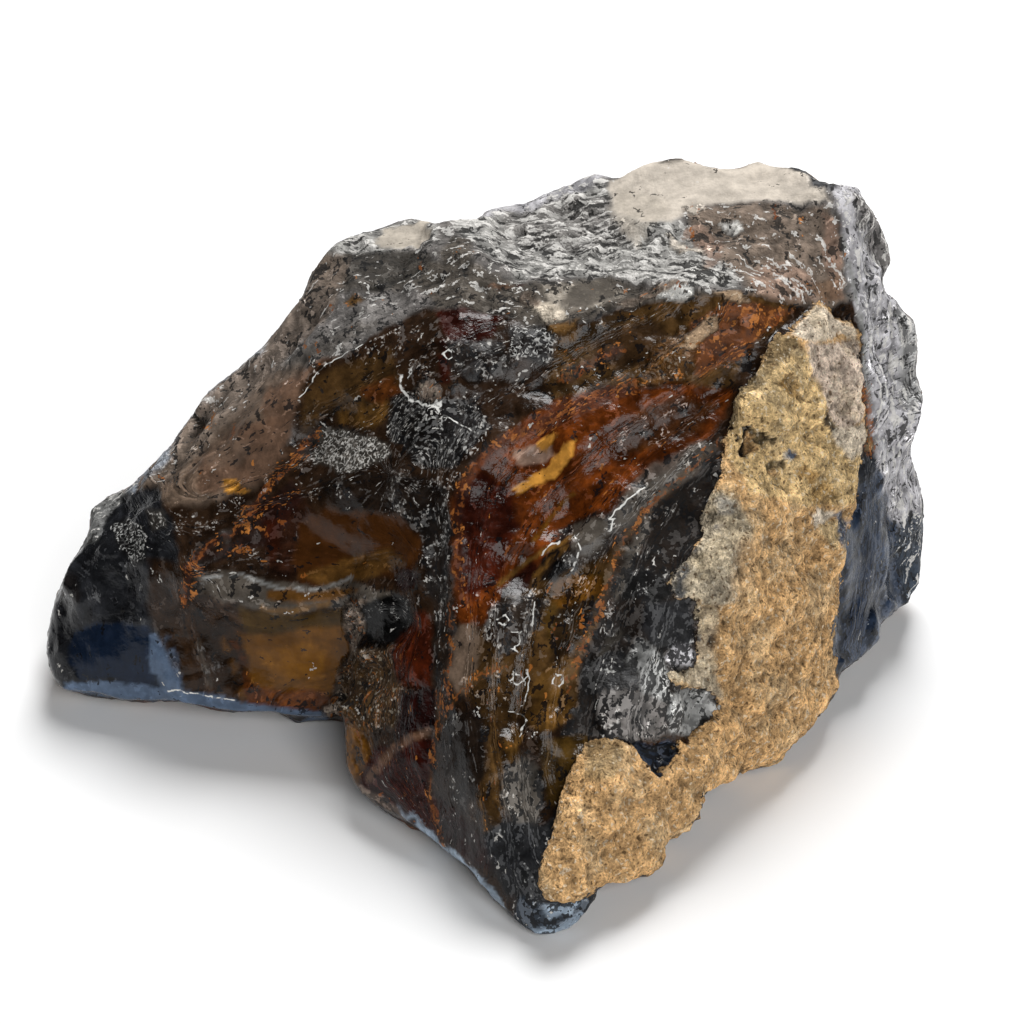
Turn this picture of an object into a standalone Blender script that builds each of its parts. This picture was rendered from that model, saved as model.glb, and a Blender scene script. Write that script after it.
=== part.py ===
"""Rough pietersite: one broken lump of fibrous quartz that carries a rind of sandy rock.

The stone is a union of a few blunt lumps, trimmed to its outline and cut flat where it rests. Its
broken faces are then roughened: flake scars everywhere, ledges on the weathered top and right side,
ridges and grooves along the fibres of the front, and a raised, knobbly rind over the right front.

The outline, the rind and the ridges are laid out on a drawing sheet. It stands square to the line of
sight from an eye point in front of the stone, and everything on it is in millimetres across and up.

Metres, +Z up. +X is the stone's right and -Y its front. The origin is the centre of its box at the
height of the flat resting face.
"""

import math

import bmesh
import bpy
import numpy as np
from mathutils import Vector, noise

MM = 0.001

# Driving dimensions, in millimetres.
STONE_WIDTH = 115.4
REMESH_STEP = 1.0
NORMAL_ROUNDS = 3
TRIANGLES = 10800

# The drawing sheet and its eye point.
EYE_DISTANCE = 302.0
EYE_ELEVATION = math.radians(32.0)
SHEET_CENTRE = Vector((2.0, 7.0, 25.0))
TRIM_NEAR = 200.0
TRIM_FAR = 420.0

# Flake scars: flat facets that lean their own way and fade at their borders.
FLAKE_SIZE = 12.0
FLAKE_TILT = 0.42
SMALL_FLAKE_SIZE = 5.5
SMALL_FLAKE_TILT = 0.3
FLAKE_BORDER = 0.22
SWELL_SIZE = 16.0
SWELL_HEIGHT = 0.45

# Ledges of the weathered faces, which lean up, right or back more than WEATHERED_LEAN.
WEATHERED_LEAN = 0.5
LEDGE_PITCH = 4.4
LEDGE_HEIGHT = 1.0
LEDGE_ACROSS = Vector((0.2, 0.92, -0.36))

# The rind of sandy rock.
RIND_THICKNESS = 1.6
RIND_EDGE = 0.9
KNOB_SIZE = 3.4
KNOB_HEIGHT = 0.7
PIT_SIZE = 8.0
PIT_DEPTH = 0.9

# Corners of each lump, in millimetres.
LUMPS = {
    "main_block": [
        # resting face
        (5, -40, -2.5), (9, -39, -2.5), (17, -30, -2.5), (30, -11, -2.5), (44, 9, -2.5), (50, 31, -2.5),
        (28, 37, -2.5), (-12, 34, -2.5), (-15, -8, -2.5), (-12, -19, -2.5), (-3, -29, -2.5),
        # foot of the front, from the toe round to the right rear
        (5, -44.5, 0.5), (10, -43, 0.5), (18, -35.5, 3), (24, -25.5, 3), (33.5, -15, 3), (44, -1, 3.5),
        (46.5, 6, 3), (52, 13.5, 4), (57.5, 18, 4), (58.5, 25, 8),
        # foot of the left wall
        (-4.5, -31.5, 3), (-10.5, -25.5, 4), (-17.5, -20, 4), (-18.5, -8, 4), (-18.5, 6, 20),
        # break between the front and the rind's wall
        (5.5, -43.5, 5.5), (12, -31.5, 16), (22.5, -21, 25), (26, -11, 35), (29.5, -1, 45.5),
        # break down the middle of the front
        (-6.5, -7, 38.5), (-6, -25, 19.5), (-16.5, -10, 22),
        # brow of the top face
        (-13, 11, 49), (-6.5, 9, 52.5), (3, 9, 52), (17, 9, 54), (29, 9, 54),
        # right front edge
        (43.5, 22, 60.5), (45.5, 15, 46.5), (47.5, 11, 33), (45, 6, 22), (43.5, 3, 13),
        # back rim of the top face
        (-12, 35, 53), (1.5, 36, 54), (13, 35, 59), (23, 33, 62.5), (33, 35, 61.5), (47.5, 32, 59.5),
        # right rear
        (51, 33, 55), (52.5, 33, 47), (57, 32, 38), (57.5, 30, 27), (58, 27, 14),
        # back
        (44, 42, 34), (20, 44, 38), (-6, 43, 34), (-14, 38, 12), (24, 43, 14), (46, 38, 12),
    ],
    "left_wing": [
        # resting face
        (-50, 8, -2.5), (-38, 4, -2.5), (-20, 1, -2.5), (-8, 0, -2.5), (-8, 34, -2.5), (-44, 27, -2.5),
        # foot of the wing, right to left
        (-15, -7, 3), (-30, -6.5, 2.5), (-42, -4, 2), (-56, -1.5, 2.5), (-58.5, 2, 5),
        # left end
        (-58, 6, 11), (-55.5, 9, 17), (-53, 16, 21), (-47.5, 19, 22), (-43, 22, 26),
        (-37.5, 25, 33),
        # break between the sloping front and the low wall under it
        (-49.5, 2, 19.6), (-36, -3.5, 21.5), (-24, -4.5, 20), (-15, -8, 22),
        # brow
        (-31, 17, 37), (-20, 12, 45), (-13, 10, 47),
        # back
        (-53, 28, 8), (-51, 24, 16), (-36, 36, 18), (-31, 30, 35), (-10, 36, 20), (-10, 28, 44),
    ],
    "left_shoulder": [
        (-31, 17, 37), (-31, 26.5, 38), (-27, 28, 43), (-23, 30, 51.5), (-21, 32, 53),
        (-11.7, 35, 54), (-4, 31, 53), (-4, 11, 50), (-20, 12, 46.2), (-13, 10.5, 49.6),
        (-27, 34, 30), (-12, 41, 32), (-12, 10, 24), (-28, 20, 26),
    ],
    "middle_fill": [
        (-20, 12, 46), (-6.5, 9, 52.3), (-6.5, -7, 38.3), (-13, -8.5, 28), (-22, -2, 30), (-26, 6, 33.5),
        (-10, 20, 20), (-15, 0, 18),
    ],
    "right_bulge": [
        (54.5, 32, 43), (57, 33, 38), (57, 31, 31), (58.3, 30, 27), (51, 24, 38), (50, 20, 28),
        (50, 36, 40), (52, 38, 30), (44, 30, 34),
    ],
}

# The stone's outline on the drawing sheet, clockwise from its left tip.
OUTLINE = [
    (-58, -18), (-58, -15), (-56, -11), (-54, -6.5), (-52, -3), (-52.5, 0), (-50.5, 2), (-47.5, 3),
    (-43, 8), (-38, 15), (-35, 17), (-29, 23), (-26, 27), (-24.5, 30.5), (-21, 34), (-18, 35),
    (-13.5, 36.5), (-11, 36), (-4.5, 36), (-3.5, 37.5), (2, 38.5), (4, 40), (6, 40), (11, 42), (13, 42),
    (17, 43.5), (21.5, 44), (23.5, 43), (26, 43), (30.5, 43.5), (36, 42.5), (38, 41.5), (43, 40.5),
    (46, 36), (47, 33), (46, 29), (48, 27.5), (50, 23), (50.5, 19), (51, 15), (49.3, 10), (49.3, 7),
    (50.8, 1.5), (51.3, -6.5), (50, -10), (46, -13.5), (42, -19), (41, -20), (39.5, -22), (34.5, -26),
    (30.5, -31), (29, -31.5), (23.5, -33.5), (21.5, -37), (17.5, -40), (16, -44), (14.5, -44.5), (11, -44),
    (10, -49), (8, -52), (3.5, -53.5), (1, -52), (-0.5, -50), (-5, -44.5), (-10, -40.5), (-17.5, -36),
    (-20, -33.5), (-21, -25.5), (-34.5, -25), (-42, -23.5), (-49, -23.5), (-51.5, -22.5), (-56, -22),
]

# The rind's outline on the drawing sheet.
RIND_OUTLINE = [
    (38, 25.5), (40, 23), (43.5, 19), (44, 15), (44, 11), (43.5, 7), (42, 0), (41, -6), (40.5, -14),
    (41, -22), (37, -29), (32, -33), (28, -32), (24, -36), (22, -40), (18, -46), (13, -47), (8, -48),
    (4.5, -48.5), (3.5, -46), (4, -42), (6.5, -36), (8, -30), (11, -28.5), (15, -30), (18, -32.5),
    (22, -28), (25, -25), (21.5, -20), (23, -16.5), (25, -11.5), (23.5, -4), (24.5, 0), (26.5, 10.5),
    (28, 14), (31, 19), (32, 22), (35, 23),
]

# Ridges along lines of the drawing sheet: height, half width, and the line. A groove is below zero.
RIDGES = [
    # lip of the wing's ledge
    (1.0, 1.6, [(-39, -9), (-33.5, -10), (-29, -11), (-23, -10.5), (-19.5, -10), (-14, -11)]),
    # edge of the wing's tip
    (0.8, 2.4, [(-43.5, 3), (-41, -3.5), (-40, -10), (-39.5, -16), (-39, -22)]),
    # dark seam down the middle of the front
    (-0.9, 1.3, [(-9.5, 3), (-9, -9.5), (-9, -22), (-10, -28.5), (-10.5, -35), (-9, -40.5)]),
    # fibre ridges and the troughs between them, from the upper right down to the toe
    (0.9, 1.8, [(16.5, 3), (12.5, -0.5), (9, -4), (4, -8), (-1.5, -16), (-3, -22), (-4, -30)]),
    (-0.8, 1.6, [(10, -6), (6, -11), (2, -17), (0.5, -25), (1, -33)]),
    (-1.3, 2.4, [(28, 8), (21, 0), (17, -6), (14.5, -11), (12, -18), (9.5, -25.5)]),
    (0.8, 2.4, [(24, -6), (21, -13.5), (18, -20), (15, -26)]),
    (0.8, 2.2, [(29, 23), (22, 18), (16, 14), (10, 9.5), (5.5, 5), (2, -2.5)]),
    (-0.7, 1.8, [(26, 16), (19, 11), (13, 7), (6.5, 1), (1, -7)]),
    (0.7, 1.6, [(12.5, 20), (7, 16), (1, 11.5), (-4, 7.5), (-6, 1.5), (-6.5, -6), (-6, -14)]),
    (0.7, 2.2, [(-5, 19), (-10, 14), (-12.5, 9), (-13.5, 1.5), (-12, -6)]),
    (0.7, 1.3, [(-14, 21), (-21, 20.5), (-24, 18), (-26.5, 14.5)]),
    # ledges under the pale hollow of the top, and the rim behind its right end
    (1.0, 1.8, [(-9.5, 33.5), (-4, 31), (1, 29.5), (11, 30), (21, 28), (28.5, 28)]),
    (1.0, 1.6, [(16, 36), (23.5, 38), (32, 38.5), (40.5, 38)]),
    # upright ribs of the right wall
    (0.9, 1.1, [(42, 39.5), (43.5, 29), (44.5, 20), (46, 9), (46.5, -2.5), (46, -8)]),
    (-0.9, 1.2, [(46.3, 25), (47.3, 14), (48, 5), (48.5, -6)]),
    (0.8, 1.1, [(48, 27), (49, 20), (49.5, 10), (50, 1.5)]),
    (-0.7, 1.2, [(43, 5), (43, -4), (42.5, -14)]),
]

# Hollows of the faces that the eye point sees: place on the sheet, radius and depth.
HOLLOWS = [
    ((6, 33.5), 9.0, 1.8),
    ((-5.5, 33.5), 3.5, -0.9),
    ((32, 33.5), 6.0, 0.8),
    ((-16, -14), 4.5, 1.3),
    ((-28.5, -18), 7.0, 1.1),
    ((-50, -9), 6.0, 0.8),
    ((4, 6), 5.0, 0.8),
    ((-14, 9), 6.0, 0.7),
    ((-4, -33), 5.0, -0.8),
    ((29, 10), 2.0, 1.9),
    ((31.8, 8.3), 2.0, 1.6),
    ((33, 4.5), 2.6, 1.2),
]

# Hollows of the back: place on the stone, radius and depth.
BACK_HOLLOWS = [
    ((-22, 42, 24), 15.0, 2.4),
    ((30, 44, 26), 12.0, 2.6),
    ((4, 44, 44), 10.0, 1.4),
]


def clear_scene():
    for obj in list(bpy.data.objects):
        bpy.data.objects.remove(obj, do_unlink=True)


def new_collection(name):
    collection = bpy.data.collections.new(name)
    bpy.context.scene.collection.children.link(collection)
    return collection


def add_object(name, bm, collection):
    mesh = bpy.data.meshes.new(name)
    bm.to_mesh(mesh)
    bm.free()
    obj = bpy.data.objects.new(name, mesh)
    collection.objects.link(obj)
    return obj


def hull(name, corners, collection):
    """A blunt lump: the convex hull of its corners."""
    bm = bmesh.new()
    for corner in corners:
        bm.verts.new(Vector(corner) * MM)
    made = bmesh.ops.convex_hull(bm, input=bm.verts)
    inside = [v for v in made["geom_interior"] if isinstance(v, bmesh.types.BMVert)]
    bmesh.ops.delete(bm, geom=inside, context="VERTS")
    bmesh.ops.recalc_face_normals(bm, faces=bm.faces)
    return add_object(name, bm, collection)


def sheet_axes():
    """The line of sight, and the sheet's direction up; across is +X."""
    sight = Vector((0.0, math.cos(EYE_ELEVATION), -math.sin(EYE_ELEVATION)))
    up = Vector((0.0, math.sin(EYE_ELEVATION), math.cos(EYE_ELEVATION)))
    return sight, up


def off_sheet(across, up, distance):
    """The point of the line of sight through a place on the sheet, at a distance from the eye."""
    sight, sheet_up = sheet_axes()
    reach = distance / EYE_DISTANCE
    offset = Vector((across, 0.0, 0.0)) + sheet_up * up
    return SHEET_CENTRE + offset * reach + sight * (distance - EYE_DISTANCE)


def trimmer(collection):
    """A long taper from the eye point, as wide as the stone's outline, to trim the stone with."""
    bm = bmesh.new()
    near = [bm.verts.new(off_sheet(across, up, TRIM_NEAR) * MM) for across, up in OUTLINE]
    edges = [bm.edges.new(pair) for pair in zip(near, near[1:] + near[:1])]
    bmesh.ops.triangle_fill(bm, edges=edges, use_beauty=True)
    made = bmesh.ops.extrude_face_region(bm, geom=bm.faces[:])
    eye = off_sheet(0.0, 0.0, 0.0) * MM
    for vertex in [v for v in made["geom"] if isinstance(v, bmesh.types.BMVert)]:
        vertex.co = eye + (vertex.co - eye) * (TRIM_FAR / TRIM_NEAR)
    bmesh.ops.recalc_face_normals(bm, faces=bm.faces)
    return add_object("outline_trimmer", bm, collection)


def combine(stone, other, operation):
    other.hide_render = True
    other.display_type = "WIRE"
    modifier = stone.modifiers.new(other.name, "BOOLEAN")
    modifier.operation = operation
    modifier.object = other


def take_evaluated_mesh(obj):
    """Makes what the modifiers show the object's own mesh."""
    graph = bpy.context.evaluated_depsgraph_get()
    mesh = bpy.data.meshes.new_from_object(obj.evaluated_get(graph))
    obj.modifiers.clear()
    obj.data = mesh


def massing(collection, helpers):
    """The lumps joined and trimmed, as one closed mesh of even, small faces."""
    lumps = list(LUMPS.items())
    stone = hull("rough_pietersite", lumps[0][1], collection)
    for name, corners in lumps[1:]:
        combine(stone, hull(name, corners, helpers), "UNION")
    combine(stone, trimmer(helpers), "INTERSECT")
    remesh = stone.modifiers.new("even_faces", "REMESH")
    remesh.mode = "VOXEL"
    remesh.voxel_size = REMESH_STEP * MM
    take_evaluated_mesh(stone)
    return stone


def smooth_step(low, high, values):
    share = np.clip((values - low) / (high - low), 0.0, 1.0)
    return share * share * (3.0 - 2.0 * share)


def on_sheet(points):
    """Where points, in millimetres, are seen on the drawing sheet."""
    sight, up = (np.array(axis) for axis in sheet_axes())
    offset = points - np.array(SHEET_CENTRE)
    shrink = EYE_DISTANCE / (EYE_DISTANCE + offset @ sight)
    return np.stack([offset[:, 0] * shrink, (offset @ up) * shrink], axis=1)


def distance_to_line(places, line):
    nearest = np.full(len(places), np.inf)
    for start, end in zip(line, line[1:]):
        start, run = np.array(start), np.subtract(end, start)
        share = np.clip((places - start) @ run / (run @ run), 0.0, 1.0)
        gap = places - start - share[:, None] * run
        nearest = np.minimum(nearest, np.hypot(gap[:, 0], gap[:, 1]))
    return nearest


def depth_inside(places, outline):
    """Distance of places on the sheet from a closed outline, positive inside it."""
    closed = outline + outline[:1]
    inside = np.zeros(len(places), dtype=bool)
    for (x0, y0), (x1, y1) in zip(closed, closed[1:]):
        if y0 == y1:
            continue
        level = (y0 > places[:, 1]) != (y1 > places[:, 1])
        crossing = x0 + (x1 - x0) * (places[:, 1] - y0) / (y1 - y0)
        inside ^= level & (places[:, 0] < crossing)
    return np.where(inside, 1.0, -1.0) * distance_to_line(places, closed)


def noise_field(points, size, shift=0.0):
    offset = Vector((shift, -shift, 2.0 * shift))
    return np.array([noise.noise(Vector(p) / size + offset) for p in points])


def fractal_field(points, size, octaves):
    return np.array([noise.fractal(Vector(p) / size, 0.8, 2.0, octaves) for p in points])


def flake_scars(points, size, tilt):
    """Height of flat facets, each leaning its own way, which meet in creases."""
    heights = []
    for point in points:
        point = Vector(point)
        distances, centres = noise.voronoi(point / size)
        seed = centres[0] * 3.7
        lean = Vector([noise.noise(seed + Vector((0.0, 0.0, shift))) for shift in (0.0, 21.0, 47.0)])
        border = min(1.0, (distances[1] - distances[0]) / FLAKE_BORDER)
        heights.append((point - centres[0] * size).dot(lean) * tilt * border)
    return np.array(heights)


def ledges(points):
    """Height of uneven steps across the weathered faces: a slow rise, then a quick drop."""
    steps = (points @ np.array(LEDGE_ACROSS) + 5.0 * noise_field(points, 14.0)) / LEDGE_PITCH
    part = steps - np.floor(steps)
    strength = 0.5 + 0.5 * smooth_step(-0.3, 0.4, noise_field(points, 9.0, 3.0))
    return LEDGE_HEIGHT * strength * (part - smooth_step(0.75, 1.0, part) - 0.37)


def weathered_share(normals):
    lean = np.maximum(normals[:, 2], 0.9 * normals[:, 0])
    return smooth_step(WEATHERED_LEAN, WEATHERED_LEAN + 0.3, lean)


def front_relief(places):
    """Height of the ridges, grooves and hollows laid out on the sheet."""
    height = np.zeros(len(places))
    for rise, half_width, line in RIDGES:
        reach = distance_to_line(places, line) / half_width
        height += rise * np.exp(-reach * reach)
    for centre, radius, depth in HOLLOWS:
        reach = np.linalg.norm(places - np.array(centre), axis=1) / radius
        height -= depth * np.exp(-reach * reach)
    return height


def back_relief(points):
    height = np.zeros(len(points))
    for centre, radius, depth in BACK_HOLLOWS:
        reach = np.linalg.norm(points - np.array(centre), axis=1) / radius
        height -= depth * np.exp(-reach * reach)
    return height


def rind_height(points):
    """Height of the knobs and pits of the rind above the face it covers."""
    knobs = KNOB_HEIGHT * fractal_field(points, KNOB_SIZE, 2)
    pits = PIT_DEPTH * smooth_step(0.15, 0.5, noise_field(points, PIT_SIZE, 4.0))
    return RIND_THICKNESS + knobs - pits


def vertex_values(mesh, name):
    values = np.empty(len(mesh.vertices) * 3, dtype=np.float32)
    mesh.vertices.foreach_get(name, values)
    return values.reshape(-1, 3).astype(float)


def soft_normals(mesh):
    """Vertex normals averaged with their neighbours', so that a crease opens evenly."""
    edges = np.empty(len(mesh.edges) * 2, dtype=np.int32)
    mesh.edges.foreach_get("vertices", edges)
    first, second = edges.reshape(-1, 2).T
    normals = vertex_values(mesh, "normal")
    for _ in range(NORMAL_ROUNDS):
        total = normals.copy()
        np.add.at(total, first, normals[second])
        np.add.at(total, second, normals[first])
        normals = total / np.linalg.norm(total, axis=1, keepdims=True)
    return normals


def roughen(mesh):
    """Moves each point of the mesh along its normal by the relief of the face it lies on."""
    points = vertex_values(mesh, "co") / MM
    normals = soft_normals(mesh)
    places = on_sheet(points)
    facing = smooth_step(0.0, 0.25, normals @ -np.array(sheet_axes()[0]))
    ragged_inside = depth_inside(places, RIND_OUTLINE) + 0.8 * noise_field(points, 3.0, 1.0)
    rind = smooth_step(0.0, RIND_EDGE, ragged_inside) * facing
    small_flakes = flake_scars(points, SMALL_FLAKE_SIZE, SMALL_FLAKE_TILT)
    weathered = weathered_share(normals)
    bare = flake_scars(points, FLAKE_SIZE, FLAKE_TILT)
    bare += (small_flakes + ledges(points)) * weathered
    height = SWELL_HEIGHT * fractal_field(points, SWELL_SIZE, 3)
    height += back_relief(points) + front_relief(places) * facing
    height += bare * (1.0 - rind) + rind_height(points) * rind
    points += normals * height[:, None]
    mesh.vertices.foreach_set("co", (points * MM).astype(np.float32).ravel())
    mesh.update()


def cut_flat(mesh):
    """Cuts the stone off at z = 0, where it rests."""
    bm = bmesh.new()
    bm.from_mesh(mesh)
    cut = bmesh.ops.bisect_plane(
        bm,
        geom=bm.verts[:] + bm.edges[:] + bm.faces[:],
        plane_co=(0.0, 0.0, 0.0),
        plane_no=(0.0, 0.0, 1.0),
        clear_inner=True,
    )
    rim = [e for e in cut["geom_cut"] if isinstance(e, bmesh.types.BMEdge)]
    bmesh.ops.triangle_fill(bm, edges=rim, use_beauty=True, normal=(0.0, 0.0, -1.0))
    bmesh.ops.recalc_face_normals(bm, faces=bm.faces)
    bm.to_mesh(mesh)
    bm.free()


def centre_and_size(mesh):
    """Scales the stone to its width and puts the origin at the middle of its resting side."""
    points = vertex_values(mesh, "co")
    low, high = points.min(axis=0), points.max(axis=0)
    middle = (low + high) / 2.0
    middle[2] = 0.0
    points = (points - middle) * (STONE_WIDTH * MM / (high[0] - low[0]))
    mesh.vertices.foreach_set("co", points.astype(np.float32).ravel())


def stone_material():
    material = bpy.data.materials.new("rough_pietersite")
    material.use_nodes = True
    shader = material.node_tree.nodes["Principled BSDF"]
    shader.inputs["Base Color"].default_value = (0.075, 0.05, 0.035, 1.0)
    shader.inputs["Roughness"].default_value = 0.45
    shader.inputs["Metallic"].default_value = 0.0
    return material


def main():
    clear_scene()
    collection = new_collection("rough_pietersite")
    helpers = new_collection("lumps_and_trimmer")
    stone = massing(collection, helpers)
    roughen(stone.data)
    fewer = stone.modifiers.new("fewer_faces", "DECIMATE")
    stone.data.calc_loop_triangles()
    fewer.ratio = TRIANGLES / len(stone.data.loop_triangles)
    take_evaluated_mesh(stone)
    cut_flat(stone.data)
    centre_and_size(stone.data)
    stone.data.materials.append(stone_material())
    stone.data.shade_smooth()
    stone.data.set_sharp_from_angle(angle=math.radians(40.0))


main()
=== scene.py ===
import math
from functools import partial

import bmesh
import bpy
import numpy as np
from bpy.props import FloatProperty, FloatVectorProperty, IntProperty, PointerProperty
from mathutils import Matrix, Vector


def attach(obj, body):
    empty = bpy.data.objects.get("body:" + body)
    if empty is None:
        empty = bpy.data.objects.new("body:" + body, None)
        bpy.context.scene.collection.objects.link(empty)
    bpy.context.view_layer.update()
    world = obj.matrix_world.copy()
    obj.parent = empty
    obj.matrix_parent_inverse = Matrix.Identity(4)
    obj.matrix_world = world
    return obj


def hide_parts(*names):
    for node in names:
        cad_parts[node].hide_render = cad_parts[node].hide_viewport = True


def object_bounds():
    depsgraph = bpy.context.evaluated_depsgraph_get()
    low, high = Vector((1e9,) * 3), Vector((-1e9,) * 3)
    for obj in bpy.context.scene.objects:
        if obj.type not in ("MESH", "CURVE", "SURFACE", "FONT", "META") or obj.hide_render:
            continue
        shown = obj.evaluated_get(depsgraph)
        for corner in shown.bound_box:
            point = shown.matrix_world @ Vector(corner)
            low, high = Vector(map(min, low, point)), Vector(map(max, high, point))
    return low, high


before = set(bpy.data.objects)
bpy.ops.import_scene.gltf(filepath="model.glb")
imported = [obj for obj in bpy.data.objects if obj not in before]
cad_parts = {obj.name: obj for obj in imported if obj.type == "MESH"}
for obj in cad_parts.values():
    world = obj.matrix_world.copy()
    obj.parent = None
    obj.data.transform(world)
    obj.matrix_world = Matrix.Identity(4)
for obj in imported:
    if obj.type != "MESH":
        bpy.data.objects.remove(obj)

bl_info = {
    "name": "Rough pietersite",
    "version": (1, 0, 0),
    "blender": (4, 5, 0),
    "location": "3D View > Sidebar > Pietersite",
    "description": "Dresses the packed rough pietersite with its broken faces, sandy rind and finishes",
    "category": "Object",
}

MM = 0.001
CAD_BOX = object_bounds()
NODE = "rough_pietersite"
PIECE = "pietersite_stone"

# The drawing sheet stands square to the line of sight from an eye point in front of the stone.
# Points laid out on it count the lines of its grid, across and down from its top left corner. The
# grid has eight lines to the millimetre, and its middle line each way crosses the sheet's centre.
EYE_DISTANCE = 302.0
EYE_ELEVATION = math.radians(32.0)
SHEET_CENTRE = np.array((2.0, 7.0, 25.0))
FORWARD = np.array((0.0, math.cos(EYE_ELEVATION), -math.sin(EYE_ELEVATION)))
UP = np.array((0.0, math.sin(EYE_ELEVATION), math.cos(EYE_ELEVATION)))
EYE = SHEET_CENTRE - FORWARD * EYE_DISTANCE
GRID_MIDDLE = 512
GRID_STEP = np.array((0.125, -0.125))
LENS = 85.0
SENSOR = 36.0

# The bedding of the stone: its ledges and streaks on the weathered faces lie square to this.
BEDDING = np.array((0.2, 0.92, -0.36))

# Faces turned towards the eye by more than this get a mesh twice as fine.
FACING_SPLIT = -0.05
# Rounds of evening out the normals: for the relief, and to tell which way a whole face looks.
RELIEF_NORMAL_ROUNDS = 3
FACE_NORMAL_ROUNDS = 12
# Rounds of evening out the shape that a hollow's painted shade and dirt are measured against.
CAVITY_ROUNDS = 4
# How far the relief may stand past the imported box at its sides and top, in millimetres.
BOX_SPARE = 0.8
# The relief fades in over these heights above the resting face, in millimetres.
FOOT_LOW, FOOT_HIGH = 0.05, 1.5
# Half the width that a thin run is measured in, in millimetres, and a distance that counts as far.
RUN_UNIT = 0.3
FAR = 9.0

# The stone's own colours, as sRGB hex values. Every marking takes one of these.
COLOURS = {
    "pitch": "080707", "soot": "1a120c", "coal": "1e1f22", "char brown": "281a0f",
    "charcoal": "3c3833", "oxblood": "1c0604", "maroon": "2c0b05", "garnet": "451806",
    "ember": "552708", "sienna": "5c3010", "tobacco": "443018", "olive": "3e2c0e",
    "bronze": "664820", "honey": "5e3c10", "bright honey": "764c10", "gold": "c48a3a",
    "umber": "684d3b", "mocha": "6c5b4d", "leather": "6e523a", "taupe": "786a5e", "rosy": "947a6a",
    "tan": "a48a6e", "drab": "504a43", "ash": "6a6663", "pebble": "9a9894", "dove": "8a8a88",
    "mist": "a8a6a9", "bone": "bcb2a4", "cream": "c6bcaf", "chalk": "f4f2ec", "navy": "101b2c",
    "ink": "242e3e", "slate blue": "363e48", "steel": "54647a",
    "cola": "3e220a", "pale steel": "94a4b4", "pale straw": "e8ca98", "straw": "e8c68e",
    "sand": "dcb07a", "ochre": "b48c50", "earth": "96805c", "stone grey": "b4a892",
    "blush": "d4c1b0", "shell": "e0d2be",
}

# What each finish does, from 0 to 1: gloss; fine glitter, painted as pale highlights; fibre bands;
# dust along the bedding; sand grains; rust splinters; tangled white lines, painted as highlights; dark
# and pale splinters; and how quiet all of it is.
CHANNELS = ("gloss", "sparkle", "fibre", "dust", "sand", "rust", "lace", "strand", "calm")
FINISHES = {
    "raw": (0.35, 0.18, 0.75, 0.26, 0.00, 0.02, 0.05, 0.50, 0.00),
    "black": (0.85, 0.48, 0.30, 0.00, 0.00, 0.00, 0.10, 0.20, 0.00),
    "smoky": (0.92, 0.18, 0.50, 0.00, 0.00, 0.00, 0.05, 0.20, 0.00),
    "quartz": (0.95, 0.10, 0.80, 0.00, 0.00, 0.05, 0.00, 0.15, 0.00),
    "silk": (0.95, 0.00, 0.60, 0.00, 0.00, 0.00, 0.00, 0.00, 0.40),
    "wet": (1.00, 0.32, 0.50, 0.00, 0.00, 0.08, 0.10, 0.40, 0.00),
    "glaze": (0.90, 0.30, 0.40, 0.00, 0.00, 0.00, 0.25, 0.25, 0.50),
    "net": (0.65, 0.45, 0.10, 0.00, 0.00, 0.00, 1.00, 0.20, 0.00),
    "crest": (0.62, 0.80, 0.10, 0.00, 0.00, 0.00, 0.20, 0.80, 0.00),
    "glint": (0.95, 0.20, 0.10, 0.00, 0.00, 0.00, 0.00, 0.00, 0.00),
    "seam": (0.55, 0.45, 0.10, 0.00, 0.00, 0.00, 0.50, 0.30, 0.00),
    "blue": (0.95, 0.22, 0.60, 0.00, 0.00, 0.00, 0.10, 0.70, 0.20),
    "slate": (0.55, 0.36, 0.30, 0.00, 0.00, 0.00, 0.15, 1.00, 0.00),
    "matt_black": (0.15, 0.35, 0.10, 0.05, 0.00, 0.00, 0.20, 0.60, 0.00),
    "dusty": (0.12, 0.20, 0.15, 0.65, 0.00, 0.02, 0.00, 0.15, 0.00),
    "powder": (0.08, 0.20, 0.10, 1.00, 0.00, 0.00, 0.00, 0.10, 0.00),
    "clay": (0.03, 0.00, 0.00, 0.06, 0.12, 0.00, 0.00, 0.03, 0.85),
    "crusty": (0.20, 0.40, 0.10, 0.20, 0.40, 0.15, 0.35, 0.60, 0.00),
    "rusty": (0.45, 0.20, 0.30, 0.00, 0.00, 0.80, 0.00, 0.30, 0.00),
    "chip": (0.15, 0.10, 0.00, 0.00, 0.40, 0.05, 0.00, 0.10, 0.20),
    "wall": (0.40, 0.40, 0.10, 0.85, 0.00, 0.00, 0.20, 0.30, 0.00),
    "glassy": (0.95, 0.03, 0.35, 0.00, 0.00, 0.00, 0.00, 0.08, 0.70),
    "hazy": (0.40, 0.16, 0.15, 0.22, 0.00, 0.01, 0.00, 0.20, 0.30),
    "faint": (0.18, 0.20, 0.20, 0.48, 0.00, 0.02, 0.00, 0.36, 0.00),
}

# Faces turned away from the eye: their ground colour, the size of the blocks that they break into, in
# millimetres, and the bands in the blocks: colour, thickness in millimetres, and how rare it is.
HIDDEN_TINT = "drab"
HIDDEN_SEAM = "garnet"
SEAM_COVER = 0.7
BLOCK_SIZE = 26.0
HIDDEN_BANDS = (
    ("charcoal", 5.0, 0.05), ("umber", 7.0, 0.20), ("slate blue", 8.0, 0.30), ("taupe", 4.0, 0.35),
    ("tobacco", 6.0, 0.35), ("soot", 3.0, 0.35),
)

# The ground colour of the faces that the eye sees, under all patches.
FRONT_TINT = "char brown"

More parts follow.
